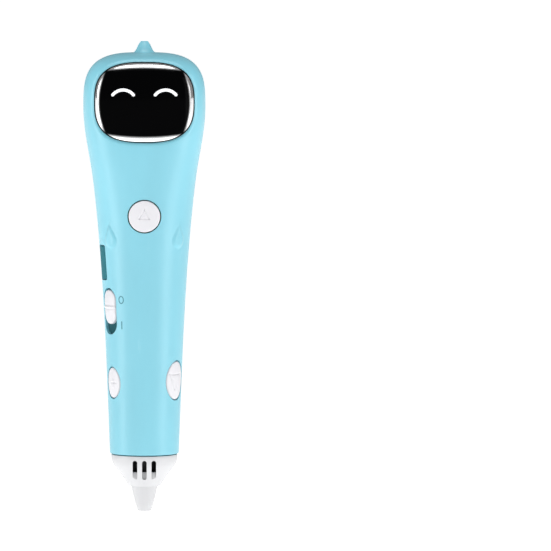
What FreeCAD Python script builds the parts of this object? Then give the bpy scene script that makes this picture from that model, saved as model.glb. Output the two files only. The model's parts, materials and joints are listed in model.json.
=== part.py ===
"""Parametric model of a hand-held 3-D drawing pen, tip down.

Millimetres. The origin is the centre of the nozzle outlet, +Z runs up the pen's axis and the face looks
along -Y, so the power slider and the indicator window are on the -X side.
"""
import FreeCAD, Part
import Sketcher
import math
import os
import re

Vector = FreeCAD.Vector

# Driving dimensions: alias, value, what it is.
SIZES = (
    # casing stations, from the foot up: height, half width, half depth, squareness of the section
    ("foot_level", 22.2, "lower edge of the barrel, where the nozzle cap starts"),
    ("foot_half_width", 13.2, "barrel at its foot"),
    ("foot_half_depth", 13.2, "barrel at its foot"),
    ("foot_squareness", 2.0, "2 is an ellipse"),
    ("grip_level", 50.0, "middle of the grip"),
    ("grip_half_width", 14.25, "barrel at the grip"),
    ("grip_half_depth", 14.25, "barrel at the grip"),
    ("grip_squareness", 2.0, "2 is an ellipse"),
    ("middle_level", 80.0, "beside the power slider"),
    ("middle_half_width", 15.65, "barrel at the power slider"),
    ("middle_half_depth", 15.5, "barrel at the power slider"),
    ("middle_squareness", 2.0, "2 is an ellipse"),
    ("chest_level", 100.0, "at the arms"),
    ("chest_half_width", 17.0, "barrel at the arms"),
    ("chest_half_depth", 16.6, "barrel at the arms"),
    ("chest_squareness", 2.0, "2 is an ellipse"),
    ("neck_level", 119.0, "between chest and head"),
    ("neck_half_width", 18.75, "casing at the neck"),
    ("neck_half_depth", 17.7, "casing at the neck"),
    ("neck_squareness", 2.15, "starts to turn square"),
    ("jaw_level", 132.0, "under the face"),
    ("jaw_half_width", 20.4, "casing under the face"),
    ("jaw_half_depth", 18.5, "casing under the face"),
    ("jaw_squareness", 2.5, "squarish"),
    ("cheek_level", 143.5, "lower half of the face"),
    ("cheek_half_width", 22.35, "head at the cheeks"),
    ("cheek_half_depth", 19.0, "head at the cheeks"),
    ("cheek_squareness", 2.85, "squarish"),
    ("brow_level", 155.0, "widest part of the head"),
    ("brow_half_width", 23.35, "widest part of the head"),
    ("brow_half_depth", 19.2, "widest part of the head"),
    ("brow_squareness", 3.0, "squarish"),
    ("crown_rise", 20.6, "from the widest part up to the crown"),
    ("crown_squareness", 3.2, "side outline of the crown"),
    ("wall", 2.0, "casing wall"),
    ("fit_gap", 0.15, "clearance of a lid, button or knob in its opening"),
    ("running_gap", 0.03, "radial clearance of a turning shaft"),
    ("small_gap", 0.05, "clearance between parts that only sit together"),
    # face
    ("face_half_width", 19.15, "face plate"),
    ("face_half_height", 15.3, "face plate"),
    ("face_level", 157.1, "middle of the face plate"),
    ("face_squareness", 2.8, "outline of the face plate"),
    ("face_proud", 0.4, "face plate in front of the casing"),
    ("face_sink", 1.2, "depth of the face plate's seat in the wall"),
    ("face_ledge", 2.2, "width of that seat"),
    ("diffuser_plate", 1.2, "thickness of the light pipe's plate"),
    ("eye_spacing", 8.06, "each eye from the middle"),
    ("eye_radius", 5.05, "centre line of an eye's arc"),
    ("eye_stroke", 1.15, "line width of an eye"),
    ("eye_top", 161.9, "top of the arc's centre line"),
    ("eye_half_angle", 51.0, "half of the arc, degrees"),
    ("face_board_half_width", 13.0, "circuit board behind the face"),
    ("face_board_half_height", 9.8, "circuit board behind the face"),
    ("face_board_front", -13.4, "its front surface"),
    ("board_thickness", 1.0, "all small circuit boards"),
    ("eye_lamp_half_side", 1.75, "lamp behind an eye"),
    ("eye_lamp_half_height", 1.4, "lamp behind an eye"),
    ("eye_lamp_depth", 1.4, "lamp behind an eye"),
    # crown
    ("inlet_top", 180.0, "top of the filament inlet"),
    ("inlet_foot_radius", 4.2, "inlet where it meets the crown"),
    ("inlet_stem_radius", 2.6, "inlet inside the crown"),
    ("inlet_sink", 4.2, "how far the inlet reaches below the crown"),
    ("inlet_bore", 1.3, "radius of the bore that takes the filament in"),
    ("filament_bore", 1.1, "radius of the filament's passages inside"),
    ("guide_tube_radius", 1.5, "outside of the guide tubes"),
    ("guide_gap", 0.2, "lower guide tube from the level of the feed wheel's rim"),
    # arms
    ("arm_azimuth", 49.0, "middle of an arm, degrees from the front"),
    ("arm_level", 104.4, "centre of an arm's round end"),
    ("arm_radius", 3.4, "round lower end of an arm"),
    ("arm_rise", 6.8, "from that centre to the point"),
    ("arm_proud", 0.7, "relief of an arm"),
    # buttons
    ("press_travel", 0.6, "how far each button goes in"),
    ("button_proud", 0.55, "button in front of the casing"),
    ("feed_button_level", 113.7, "round button"),
    ("feed_button_radius", 6.1, "round button"),
    ("side_azimuth", 58.6, "side buttons, degrees from the front"),
    ("speed_button_level", 49.7, "plus button"),
    ("speed_button_half_width", 4.3, "plus button"),
    ("speed_button_half_height", 5.9, "plus button"),
    ("reverse_button_level", 50.6, "down-triangle button"),
    ("reverse_button_half_width", 5.4, "down-triangle button"),
    ("reverse_button_half_height", 7.4, "down-triangle button"),
    ("flange_margin", 0.8, "retaining flange beyond a button's edge"),
    ("flange_thickness", 0.8, "retaining flange"),
    ("switch_side", 6.0, "tactile switch body, square"),
    ("switch_depth", 3.3, "tactile switch body, thickness"),
    ("plunger_radius", 1.4, "tactile switch plunger"),
    ("plunger_reach", 0.9, "plunger in front of its switch body"),
    ("plunger_root", 0.4, "plunger inside its switch body"),
    ("flange_clearance", 0.25, "side button's flange from the casing's inner side"),
    ("switch_board_half_width", 4.0, "board of a side button"),
    ("switch_board_half_height", 4.5, "board of a side button"),
    # power slider
    ("slider_azimuth", 60.0, "degrees from the front, on the left"),
    ("slider_slot_top", 85.7, "upper end of the slot"),
    ("slider_slot_length", 17.2, "slot, end to end"),
    ("slider_slot_half_width", 4.4, "slot"),
    ("slider_slot_sink", 1.2, "depth of the slot's floor"),
    ("slider_knob_length", 13.3, "knob, end to end"),
    ("slider_end_gap", 0.3, "knob from the slot's end at both limits"),
    ("slider_travel_room", 3.3, "how far the knob goes down"),
    ("slider_proud", 0.6, "knob in front of the casing"),
    ("slider_stem", 3.0, "stem of the knob, square"),
    ("slider_stem_reach", 1.9, "stem inside the casing's inner side"),
    ("lever_length", 1.6, "lever of the power switch"),
    ("lever_gap", 0.4, "power switch from the slider's stem"),
    ("power_switch_depth", 2.6, "power switch body"),
    ("power_switch_half_width", 2.0, "power switch body"),
    ("power_switch_half_length", 4.4, "power switch body"),
    ("power_board_half_width", 2.4, "board of the power switch"),
    ("power_board_half_length", 5.5, "board of the power switch"),
    # indicator window
    ("window_azimuth", 73.5, "degrees from the front, on the left"),
    ("window_half_width", 3.1, "indicator window"),
    ("window_bottom", 89.1, "indicator window"),
    ("window_top", 102.0, "indicator window"),
    ("indicator_board_half_width", 2.8, "board behind the window"),
    ("indicator_board_margin", 1.0, "board short of the window at each end"),
    ("indicator_board_level", 11.0, "inner side of that board from the axis"),
    ("indicator_lamp_start", 2.4, "lowest lamp above the window's bottom"),
    ("indicator_lamp_pitch", 3.5, "lamp to lamp"),
    ("indicator_lamp_length", 1.2, "lamp"),
    ("indicator_lamp_half_width", 1.0, "lamp"),
    ("indicator_lamp_height", 0.8, "lamp"),
    # nozzle cap and cone
    ("cap_top_radius", 12.65, "cap under the barrel"),
    ("cap_straight", 0.9, "short straight edge of the cap"),
    ("cap_shoulder", 6.2, "radius of the cap's shoulder"),
    ("cap_slope", 36.5, "cap's flank, degrees from the axis"),
    ("cap_rim_level", 9.7, "lower rim of the cap"),
    ("cap_wall", 1.8, "wall of the cap"),
    ("cap_floor_level", 15.35, "floor of the cap's hollow"),
    ("cap_step_width", 1.1, "step at the foot of the cap's hollow"),
    ("cap_step_rise", 2.2, "step at the foot of the cap's hollow"),
    ("spigot_length", 5.0, "collar of the cap inside the barrel"),
    ("vent_spacing", 3.6, "vent slots"),
    ("vent_half_width", 0.875, "vent slots"),
    ("vent_bottom", 12.5, "vent slots"),
    ("vent_top", 20.15, "vent slots"),
    ("vent_floor", 7.3, "distance of the vents' floor from the axis"),
    ("cone_tip_radius", 2.6, "cone at the outlet"),
    ("cone_radius", 5.05, "cone under the cap"),
    ("cone_level", 9.6, "where the cone turns straight"),
    ("cone_flange_radius", 6.6, "flange that holds the cone in the cap"),
    ("cone_flange_level", 12.0, "underside of that flange"),
    ("cone_flange_height", 2.0, "flange thickness"),
    # hot end
    ("outlet_radius", 0.4, "nozzle outlet"),
    ("outlet_length", 2.0, "straight length of the outlet"),
    ("tip_radius", 0.95, "outside of the melt tube at the outlet"),
    ("tip_length", 1.5, "straight tip"),
    ("tube_radius", 2.0, "outside of the melt tube"),
    ("tube_shoulder", 4.0, "where the melt tube reaches full size"),
    ("tube_top", 44.0, "upper end of the melt tube"),
    ("heater_radius", 3.4, "ceramic heater"),
    ("heater_bottom", 16.0, "ceramic heater"),
    ("heater_top", 33.0, "ceramic heater"),
    ("insulation_radius", 4.8, "insulation sleeve"),
    ("insulation_margin", 1.5, "insulation beyond the heater at each end"),
    ("thermistor_radius", 0.55, "temperature sensor on the heater"),
    ("thermistor_length", 1.6, "top of the sensor above the heater"),
    ("thermistor_offset", 0.7, "sensor's axis outside the melt tube"),
    ("holder_bottom", 37.0, "disc that holds the hot end"),
    ("holder_height", 4.0, "disc that holds the hot end"),
    # feed drive
    ("gear_module", 0.75, "spur gears"),
    ("pinion_teeth", 12.0, "on the motor shaft"),
    ("gear_teeth", 20.0, "on the feed axle"),
    ("pressure_angle", 25.0, "degrees"),
    ("tooth_backlash", 0.12, "play between the teeth"),
    ("gear_width", 3.0, "both gears"),
    ("gear_plane", 6.8, "near side of both gears"),
    ("motor_depth", 8.0, "motor axis behind the pen's axis"),
    ("motor_level", 144.5, "motor axis"),
    ("motor_radius", 6.0, "round sides of the motor can"),
    ("motor_flat", 5.0, "half distance between its flats"),
    ("motor_length", 12.5, "motor can"),
    ("gearbox_length", 9.0, "gearbox"),
    ("gearbox_end", 6.5, "output side of the gearbox"),
    ("motor_shaft_radius", 1.5, "output shaft"),
    ("motor_shaft_root", 3.5, "output shaft inside the gearbox"),
    ("shaft_end", 0.5, "shaft and axle beyond their gears"),
    ("axle_end", 0.3, "feed axle beyond its far bush"),
    ("bush_wall", 0.9, "bushes of the feed axle and rim of the idler arm's hub"),
    ("clamp_width", 4.0, "strap over the gearbox"),
    ("clamp_setback", 3.5, "strap from the gearbox's output side"),
    ("feed_wheel_radius", 4.2, "knurled wheel"),
    ("feed_wheel_half_width", 2.5, "knurled wheel"),
    ("filament_pinch", 0.8, "each wheel's rim from the pen's axis"),
    ("axle_radius", 1.0, "feed axle and idler pins"),
    ("idler_radius", 3.5, "idler wheel"),
    ("idler_half_width", 1.5, "idler wheel"),
    ("idler_arm_length", 10.5, "pivot to idler"),
    ("idler_arm_inner", 2.1, "inner side of the arm's cheeks"),
    ("idler_arm_outer", 3.9, "outer side of the arm's cheeks"),
    ("frame_inner", 4.6, "inner side of the feed frame's cheeks"),
    ("frame_outer", 6.2, "outer side of the feed frame's cheeks"),
    ("frame_bottom", 119.8, "feed frame"),
    ("frame_back", 9.6, "feed frame"),
    ("frame_front", 6.6, "front of the cheeks, ahead of the axis"),
    ("frame_ear", 3.0, "height of the cheeks' ears that carry the spring's seat"),
    ("frame_shelf", 3.0, "upper plate behind the cheeks, under the motor"),
    ("plate_clearance", 1.9, "cross plates clear of the filament"),
    ("spring_seat_front", 12.3, "spring's seat ahead of the axis"),
    ("spring_seat_rise", 3.2, "spring's seat above the cheeks"),
    ("spring_coil_radius", 1.6, "idler spring"),
    ("spring_wire_radius", 0.22, "idler spring"),
    ("spring_turns", 5.0, "idler spring"),
    ("idler_cheek_half_depth", 1.6, "idler arm's cheeks"),
    ("idler_bridge_gap", 0.7, "idler arm's bridge above its wheel"),
    ("idler_bridge_top", 8.0, "idler arm's bridge above its wheel's axis"),
    ("idler_bridge_front", 7.4, "front of the idler arm's bridge, ahead of the axis"),
    ("plate_thickness", 1.1, "cross plates of the feed frame"),
    # power and control
    ("battery_half_width", 8.0, "pouch cell"),
    ("battery_front", 2.6, "pouch cell"),
    ("battery_depth", 6.8, "pouch cell"),
    ("battery_bottom", 62.0, "pouch cell"),
    ("battery_length", 38.0, "pouch cell"),
    ("board_front", -6.6, "front surface of the main board"),
    ("board_half_width", 8.5, "main board"),
    ("board_bottom", 62.0, "main board"),
    ("board_top", 118.6, "main board"),
    ("board_step", 104.0, "where the main board widens"),
    ("board_narrow", 1.5, "left edge of its narrow part"),
    ("socket_level", 112.0, "middle of the charging socket"),
    ("socket_half_width", 4.47, "charging socket"),
    ("socket_half_height", 1.63, "charging socket"),
    ("socket_length", 7.35, "charging socket"),
    ("socket_mouth", 14.4, "mouth of the charging socket behind the axis"),
    ("socket_wall", 0.3, "charging socket's sheet metal"),
    ("tongue_half_width", 3.0, "contact tongue in the socket"),
    ("tongue_half_height", 0.35, "contact tongue in the socket"),
    ("foam_margin", 2.0, "foam narrower than the cell at each side"),
    ("foam_end_margin", 4.0, "foam shorter than the cell at each end"),
    ("chip_side", 5.0, "controller"),
    ("chip_height", 1.0, "controller"),
    ("chip_rise", 20.0, "controller above the main board's foot"),
    ("part_left", 2.0, "left edge of the connectors on the main board"),
    ("connector_length", 5.0, "board connector"),
    ("connector_width", 3.0, "board connector"),
    ("connector_height", 2.2, "board connector"),
    ("charge_board_half_width", 7.5, "charging board"),
    ("charge_board_front", 2.2, "charging board behind the axis"),
    ("charge_board_back", 13.0, "charging board behind the axis"),
    # screws
    ("head_screw_offset", 15.0, "upper screws from the middle"),
    ("head_screw_level", 164.0, "upper screws"),
    ("foot_screw_offset", 7.6, "lower screws from the middle"),
    ("foot_screw_level", 31.0, "lower screws"),
    ("boss_radius", 2.3, "screw bosses"),
    ("screw_radius", 0.85, "screw shank"),
    ("screw_head_radius", 1.6, "screw head"),
    ("screw_head_height", 1.0, "screw head"),
    ("screw_seat", 4.0, "screw seat behind the split"),
    ("screw_reach", 6.0, "screw in front of the split"),
)

STATIONS = ("foot", "grip", "middle", "chest", "neck", "jaw", "cheek", "brow")
CROWN_ANGLES = (18.0, 36.0, 54.0, 70.0, 83.0)   # steps of the crown between its widest level and its top
SECTION_POINTS = 32      # points of a casing section
FORM_TOLERANCE = 1e-6    # for sewing the casing's surface to its lids
KNURLS = 28              # ridges of the feed wheel
KNURL_DEPTH = 0.25
FLANK_STEPS = 4          # steps of a tooth flank
# the inlet's bell: share of its foot's radius, share of its height
INLET_BELL = ((1.0, 0.0), (0.93, 0.05), (0.82, 0.16), (0.72, 0.32), (0.66, 0.45), (0.60, 0.58), (0.50, 0.75),
              (0.40, 0.88), (0.34, 0.97), (0.32, 1.0))
CONNECTOR_RISES = (3, 9, 33)   # board connectors above the main board's foot
REACH = 30.0             # longer than the casing is deep, for cutting tools
TOOL_START = 6.0         # how far from the axis a tool starts that cuts or follows the casing

document = FreeCAD.newDocument("drawing_pen")
sheet = document.addObject("Spreadsheet::Sheet", "Sizes")
nodes = {}
ALIAS = re.compile(r"\b(" + "|".join(name for name, _, _ in SIZES) + r")\b")


def fill_sheet():
    """Write every driving dimension into the spreadsheet as a plain number with an alias."""
    for row, (alias, size, note) in enumerate(SIZES, start=1):
        sheet.set(f"A{row}", alias)
        sheet.set(f"B{row}", str(size))
        sheet.set(f"C{row}", note)
        sheet.setAlias(f"B{row}", alias)
    document.recompute()


def bound(text):
    """Turn a formula of aliases into an expression that reads the sheet."""
    return ALIAS.sub(r"Sizes.\1", str(text))


def value(text):
    """Return the present value of a formula of aliases."""
    return float(sheet.evalExpression(bound(text)))


def bind(thing, **formulas):
    """Bind properties of an object to formulas of aliases."""
    for name, formula in formulas.items():
        thing.setExpression(name, bound(formula))
    return thing


def keep(thing, node):
    """Name an object as a sub-part that is written to its own file."""
    thing.Label = node
    nodes[node] = thing
    return thing


# ---------------------------------------------------------------- placements

def place(x=0, y=0, z=0):
    """Axes of the pen, at a point."""
    return FreeCAD.Placement(Vector(value(x), value(y), value(z)), FreeCAD.Rotation())


def facing(azimuth, z, sign=1):
    """Local Z points out of the casing, local Y up; azimuth is measured from the front, + to +X."""
    turn = FreeCAD.Rotation(Vector(0, 0, 1), sign * value(azimuth))
    tip = FreeCAD.Rotation(Vector(1, 0, 0), 90)
    return FreeCAD.Placement(Vector(0, 0, value(z)), turn.multiply(tip))


def along_x(x, y, z):
    """Local Z points along +X, local X along +Y."""
    turn = FreeCAD.Rotation(Vector(0, 1, 0), Vector(0, 0, 1), Vector(1, 0, 0), "ZXY")
    return FreeCAD.Placement(Vector(value(x), value(y), value(z)), turn)


def along_y(x, y, z):
    """Local Z points along +Y."""
    turn = FreeCAD.Rotation(Vector(1, 0, 0), -90)
    return FreeCAD.Placement(Vector(value(x), value(y), value(z)), turn)


# ---------------------------------------------------------------- building blocks

def box(x, y, z, frame=None):
    """A box between two formulas on each axis, in the pen's axes or in a frame's."""
    block = document.addObject("Part::Box", "block")
    bind(block, Length=f"({x[1]}) - ({x[0]})", Width=f"({y[1]}) - ({y[0]})", Height=f"({z[1]}) - ({z[0]})")
    here = place(x[0], y[0], z[0])
    block.Placement = frame.multiply(here) if frame else here
    return block


def rod(radius, start, end, frame):
    """A cylinder along a frame's local Z, between two formulas."""
    post = document.addObject("Part::Cylinder", "post")
    bind(post, Radius=radius, Height=f"({end}) - ({start})")
    post.Placement = frame.multiply(place(0, 0, start))
    return post


def oval_rod(half_width, half_height, start, end, frame):
    """An elliptic prism along a frame's local Z; its wider half axis may be either one."""
    ring = document.addObject("Part::Ellipse", "ring")
    upright = value(half_height) > value(half_width)
    major = half_height if upright else half_width
    minor = half_width if upright else half_height
    bind(ring, MajorRadius=major, MinorRadius=minor)
    quarter = FreeCAD.Placement(Vector(0, 0, value(start)), FreeCAD.Rotation(Vector(0, 0, 1), 90 * upright))
    ring.Placement = frame.multiply(quarter)
    prism = document.addObject("Part::Extrusion", "prism")
    prism.Base = ring
    prism.DirMode = "Custom"
    prism.Dir = frame.Rotation.multVec(Vector(0, 0, 1))
    prism.Solid = True
    bind(prism, LengthFwd=f"({end}) - ({start})")
    return prism


def stadium(half_width, bottom, top, start, end, frame):
    """An upright slot-shaped prism along a frame's local Z."""
    low = f"({bottom}) + ({half_width})"
    high = f"({top}) - ({half_width})"
    body = box((f"-({half_width})", half_width), (low, high), (start, end), frame)
    lower = rod(half_width, start, end, frame.multiply(place(0, low, 0)))
    upper = rod(half_width, start, end, frame.multiply(place(0, high, 0)))
    return join(body, lower, upper)


def join(*things):
    """Union of two or more objects."""
    union = document.addObject("Part::MultiFuse", "union")
    union.Shapes = list(things)
    return union


def cut(base, *tools):
    """Take one or more objects away from a base."""
    rest = base
    for tool in tools:
        difference = document.addObject("Part::Cut", "difference")
        difference.Base = rest
        difference.Tool = tool
        rest = difference
    return rest


def overlap(first, second):
    """What two objects share."""
    shared = document.addObject("Part::Common", "shared")
    shared.Base = first
    shared.Tool = second
    return shared


def solid(shape, name, frame=None):
    """A feature that holds a shape made with Part's own functions."""
    feature = document.addObject("Part::Feature", name)
    feature.Shape = shape
    if frame:
        feature.Placement = frame
    return feature


def turned(node, outline):
    """A body turned about the pen's axis: a closed outline of (radius, level) formulas."""
    body = document.addObject("PartDesign::Body", "turned")
    plane = next(item for item in body.Origin.OriginFeatures if item.Role == "XZ_Plane")
    sketch = body.newObject("Sketcher::SketchObject", "outline")
    sketch.AttachmentSupport = (plane, "")
    sketch.MapMode = "FlatFace"
    draw_polygon(sketch, outline)
    revolution = body.newObject("PartDesign::Revolution", "revolution")
    revolution.Profile = sketch
    revolution.ReferenceAxis = (sketch, ["V_Axis"])
    revolution.Angle = 360.0
    body.Tip = revolution
    return keep(body, node) if node else body


def padded(node, outline, thickness, frame):
    """A body padded from a closed outline of (x, y) formulas in a frame's local XY."""
    body = document.addObject("PartDesign::Body", "padded")
    plane = next(item for item in body.Origin.OriginFeatures if item.Role == "XY_Plane")
    sketch = body.newObject("Sketcher::SketchObject", "outline")
    sketch.AttachmentSupport = (plane, "")
    sketch.MapMode = "FlatFace"
    draw_polygon(sketch, outline)
    pad = body.newObject("PartDesign::Pad", "pad")
    pad.Profile = sketch
    bind(pad, Length=thickness)
    body.Tip = pad
    body.Placement = frame
    return keep(body, node) if node else body


def draw_polygon(sketch, outline):
    """Draw a closed polygon whose corners are bound to formulas."""
    corners = [Vector(value(across), value(up), 0) for across, up in outline]
    count = len(corners)
    for index in range(count):
        sketch.addGeometry(Part.LineSegment(corners[index], corners[(index + 1) % count]), False)
    for index in range(count):
        sketch.addConstraint(Sketcher.Constraint("Coincident", index, 2, (index + 1) % count, 1))
    for index, (across, up) in enumerate(outline):
        corner = corners[index]
        for kind, formula, size in (("DistanceX", across, corner.x), ("DistanceY", up, corner.y)):
            number = sketch.addConstraint(Sketcher.Constraint(kind, -1, 1, index, 1, size))
            sketch.setExpression(f"Constraints[{number}]", bound(formula))


# ---------------------------------------------------------------- the casing's form

def oval_curve(half_width, half_depth, level, squareness):
    """A closed superellipse section at a level, as one periodic curve."""
    points = []
    for step in range(SECTION_POINTS):
        angle = 2 * math.pi * step / SECTION_POINTS
        across = math.copysign(abs(math.cos(angle)) ** (2 / squareness), math.cos(angle))
        along = math.copysign(abs(math.sin(angle)) ** (2 / squareness), math.sin(angle))
        points.append(Vector(half_width * across, half_depth * along, level))
    curve = Part.BSplineCurve()
    shares = [step / SECTION_POINTS for step in range(SECTION_POINTS + 1)]
    curve.interpolate(Points=points, PeriodicFlag=True, Parameters=shares)
    return curve


def casing_sections(grow):
    """Level, half width, half depth and squareness of each section, from the foot to the crown."""
    sections = []
    for station in STATIONS:
        sections.append((value(f"{station}_level"), value(f"{station}_half_width") + grow,
                         value(f"{station}_half_depth") + grow, value(f"{station}_squareness")))
    widest, half_width, half_depth, squareness = sections[-1]
    power = 2 / value("crown_squareness")
    rise = value("crown_rise") + grow
    for degrees in CROWN_ANGLES:
        inward = math.cos(math.radians(degrees)) ** power
        upward = math.sin(math.radians(degrees)) ** power
        sections.append((widest + rise * upward, half_width * inward, half_depth * inward, squareness))
    return sections


def casing_form(offset, name):
    """The casing's whole outside, grown by an offset: one smooth surface through its sections."""
    sections = casing_sections(value(offset))
    rings = [oval_curve(half_width, half_depth, level, squareness)
             for level, half_width, half_depth, squareness in sections]
    profile = [Vector(half_width, 0, level) for level, half_width, _, _ in sections]
    lengths = [0.0]
    for lower, upper in zip(profile, profile[1:]):
        lengths.append(lengths[-1] + lower.distanceToPoint(upper))
    shares = [length / lengths[-1] for length in lengths]
    rows = []
    for column in zip(*(ring.getPoles() for ring in rings)):
        rib = Part.BSplineCurve()
        rib.interpolate(Points=list(column), Parameters=shares)
        rows.append(rib)
    around, upwards = rings[0], rows[0]
    surface = Part.BSplineSurface()
    surface.buildFromPolesMultsKnots(
        [rib.getPoles() for rib in rows], around.getMultiplicities(), upwards.getMultiplicities(),
        around.getKnots(), upwards.getKnots(), True, False, around.Degree, upwards.Degree)
    lids = [Part.Face(Part.Wire(ring.toShape())) for ring in (rings[0], rings[-1])]
    form = Part.Solid(Part.Shell([surface.toShape()] + lids))
    form.fix(FORM_TOLERANCE, FORM_TOLERANCE, FORM_TOLERANCE)
    return solid(form, name)


def face_prism(inset, name):
    """The face plate's outline as a prism through the front, made smaller by an inset."""
    half_width = value("face_half_width") - value(inset)
    half_height = value("face_half_height") - value(inset)
    wire = Part.Wire(oval_curve(half_width, half_height, 0, value("face_squareness")).toShape())
    prism = Part.Face(wire).extrude(Vector(0, 0, REACH))
    return solid(prism, name, facing(0, "face_level"))


def eye_prisms(margin, name):
    """Both eyes' arcs with round ends as prisms through the front."""
    radius = value("eye_radius")
    half_stroke = value("eye_stroke") / 2 + value(margin)
    half_angle = math.radians(value("eye_half_angle"))
    shapes = []
    for side in (-1, 1):
        centre = Vector(side * value("eye_spacing"), value("eye_top") - value("face_level") - radius, 0)

        def at(distance, angle):
            return centre + Vector(distance * math.sin(angle), distance * math.cos(angle), 0)

        def cap(angle, turn):
            middle = at(radius, angle) + Vector(math.cos(angle), -math.sin(angle), 0) * turn * half_stroke
            return Part.Arc(at(radius + turn * half_stroke, angle), middle,
                            at(radius - turn * half_stroke, angle)).toShape()

        outer = Part.Arc(at(radius + half_stroke, -half_angle), at(radius + half_stroke, 0),
                         at(radius + half_stroke, half_angle)).toShape()
        inner = Part.Arc(at(radius - half_stroke, half_angle), at(radius - half_stroke, 0),
                         at(radius - half_stroke, -half_angle)).toShape()
        wire = Part.Wire([outer, cap(half_angle, 1), inner, cap(-half_angle, -1)])
        shapes.append(Part.Face(wire).extrude(Vector(0, 0, REACH)))
    return solid(Part.makeCompound(shapes), name, facing(0, "face_level"))


def teardrop(sign, name):
    """An arm's outline as a prism: round below, with two straight flanks to a point above."""
    radius = value("arm_radius")
    rise = value("arm_rise")
    touch = math.acos(radius / rise)
    right = Vector(radius * math.sin(touch), radius * math.cos(touch), 0)
    left = Vector(-right.x, right.y, 0)
    point = Vector(0, rise, 0)
    edges = [Part.Arc(left, Vector(0, -radius, 0), right).toShape(),
             Part.LineSegment(right, point).toShape(),
             Part.LineSegment(point, left).toShape()]
    prism = Part.Face(Part.Wire(edges)).extrude(Vector(0, 0, REACH))
    return solid(prism, name, facing("arm_azimuth", "arm_level", sign))


# ---------------------------------------------------------------- casing halves and what sits in them

def build_forms():
    """The offset forms that the casing and everything flush with it are cut from."""
    return {
        "outside": casing_form("0", "outside_form"),
        "inside": casing_form("-wall", "inside_form"),
        "middle": casing_form("-wall / 2", "middle_form"),
        "face_front": casing_form("face_proud", "face_front_form"),
        "face_seat": casing_form("-face_sink", "face_seat_form"),
        "face_back": casing_form("-face_sink - diffuser_plate", "face_back_form"),
        "arm_front": casing_form("arm_proud", "arm_front_form"),
        "button_front": casing_form("button_proud", "button_front_form"),
        "slider_front": casing_form("slider_proud", "slider_front_form"),
        "slider_floor": casing_form("-slider_slot_sink", "slider_floor_form"),
        "slider_back": casing_form("small_gap - slider_slot_sink", "slider_back_form"),
    }


def half_space(side):
    """The front (-1) or back (+1) half of all space near the pen."""
    span = (-REACH, "0") if side < 0 else ("0", REACH)
    return box((-REACH, REACH), span, ("foot_level - wall", "inlet_top + wall"))


def screw_spots():
    """Where the four casing screws go: formulas of x and z."""
    for end in ("head", "foot"):
        for sign in ("-", ""):
            yield f"{sign}{end}_screw_offset", f"{end}_screw_level"


def button_spots():
    """Each button: name, frame, half width, half height."""
    return (
        ("feed", facing("0", "feed_button_level"), "feed_button_radius", "feed_button_radius"),
        ("speed", facing("side_azimuth", "speed_button_level", -1),
         "speed_button_half_width", "speed_button_half_height"),
        ("reverse", facing("side_azimuth", "reverse_button_level"),
         "reverse_button_half_width", "reverse_button_half_height"),
    )


def slider_frame():
    """The power slider's frame: local Y is the pen's axis, measured from the origin."""
    return facing("slider_azimuth", "0", -1)


def window_frame():
    """The indicator window's frame: local Y is the pen's axis, measured from the origin."""
    return facing("window_azimuth", "0", -1)


def build_front_shell(forms):
    """Front half of the casing with arms, bosses and every opening."""
    skin = overlap(cut(forms["outside"], forms["inside"]), half_space(-1))
    relief = [overlap(teardrop(sign, "arm_prism"), cut(forms["arm_front"], forms["middle"]))
              for sign in (-1, 1)]
    bosses = [overlap(rod("boss_radius", -REACH, "-small_gap", along_y(x, "0", z)), forms["middle"])
              for x, z in screw_spots()]
    pilots = [rod("screw_radius", "-screw_reach - small_gap", "small_gap", along_y(x, "0", z))
              for x, z in screw_spots()]
    seat = cut(face_prism("0", "face_opening"), forms["face_seat"])
    view = face_prism("face_ledge", "face_view")
    holes = []
    for _, frame, half_width, half_height in button_spots():
        holes.append(oval_rod(f"{half_width} + fit_gap", f"{half_height} + fit_gap",
                              TOOL_START, REACH, frame))
    slot_bottom = "slider_slot_top - slider_slot_length"
    slot = cut(stadium("slider_slot_half_width", slot_bottom, "slider_slot_top", TOOL_START, REACH,
                       slider_frame()), forms["slider_floor"])
    track = box(("-slider_stem / 2 - fit_gap", "slider_stem / 2 + fit_gap"),
                (f"{stem_middle()} - slider_stem / 2 - slider_travel_room - fit_gap",
                 f"{stem_middle()} + slider_stem / 2 + fit_gap"), (TOOL_START, REACH), slider_frame())
    window = box(("-window_half_width", "window_half_width"), ("window_bottom", "window_top"),
                 (TOOL_START, REACH), window_frame())
    inlet = rod("inlet_stem_radius + small_gap", "brow_level", "inlet_top", place())
    shell = cut(join(skin, *relief, *bosses), *pilots, seat, view, *holes, slot, track, window, inlet)
    return keep(shell, "front_shell")


def stem_middle():
    """Level of the slider's stem at rest."""
    return "(slider_slot_top - slider_end_gap - slider_knob_length / 2)"


def build_back_shell(forms):
    """Back half of the casing with counterbored screw bosses and the charging opening."""
    skin = overlap(cut(forms["outside"], forms["inside"]), half_space(1))
    bosses = [overlap(rod("boss_radius", "0", REACH, along_y(x, "0", z)), forms["middle"])
              for x, z in screw_spots()]
    bores = [rod("screw_radius + fit_gap", "-small_gap", REACH, along_y(x, "0", z))
             for x, z in screw_spots()]
    seats = [rod("screw_head_radius + fit_gap", "screw_seat", REACH, along_y(x, "0", z))
             for x, z in screw_spots()]
    charging = box(("-socket_half_width - fit_gap", "socket_half_width + fit_gap"), ("socket_mouth", REACH),
                   ("socket_level - socket_half_height - fit_gap",
                    "socket_level + socket_half_height + fit_gap"))
    inlet = rod("inlet_stem_radius + small_gap", "brow_level", "inlet_top", place())
    return keep(cut(join(skin, *bosses), *bores, *seats, charging, inlet), "back_shell")


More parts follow.
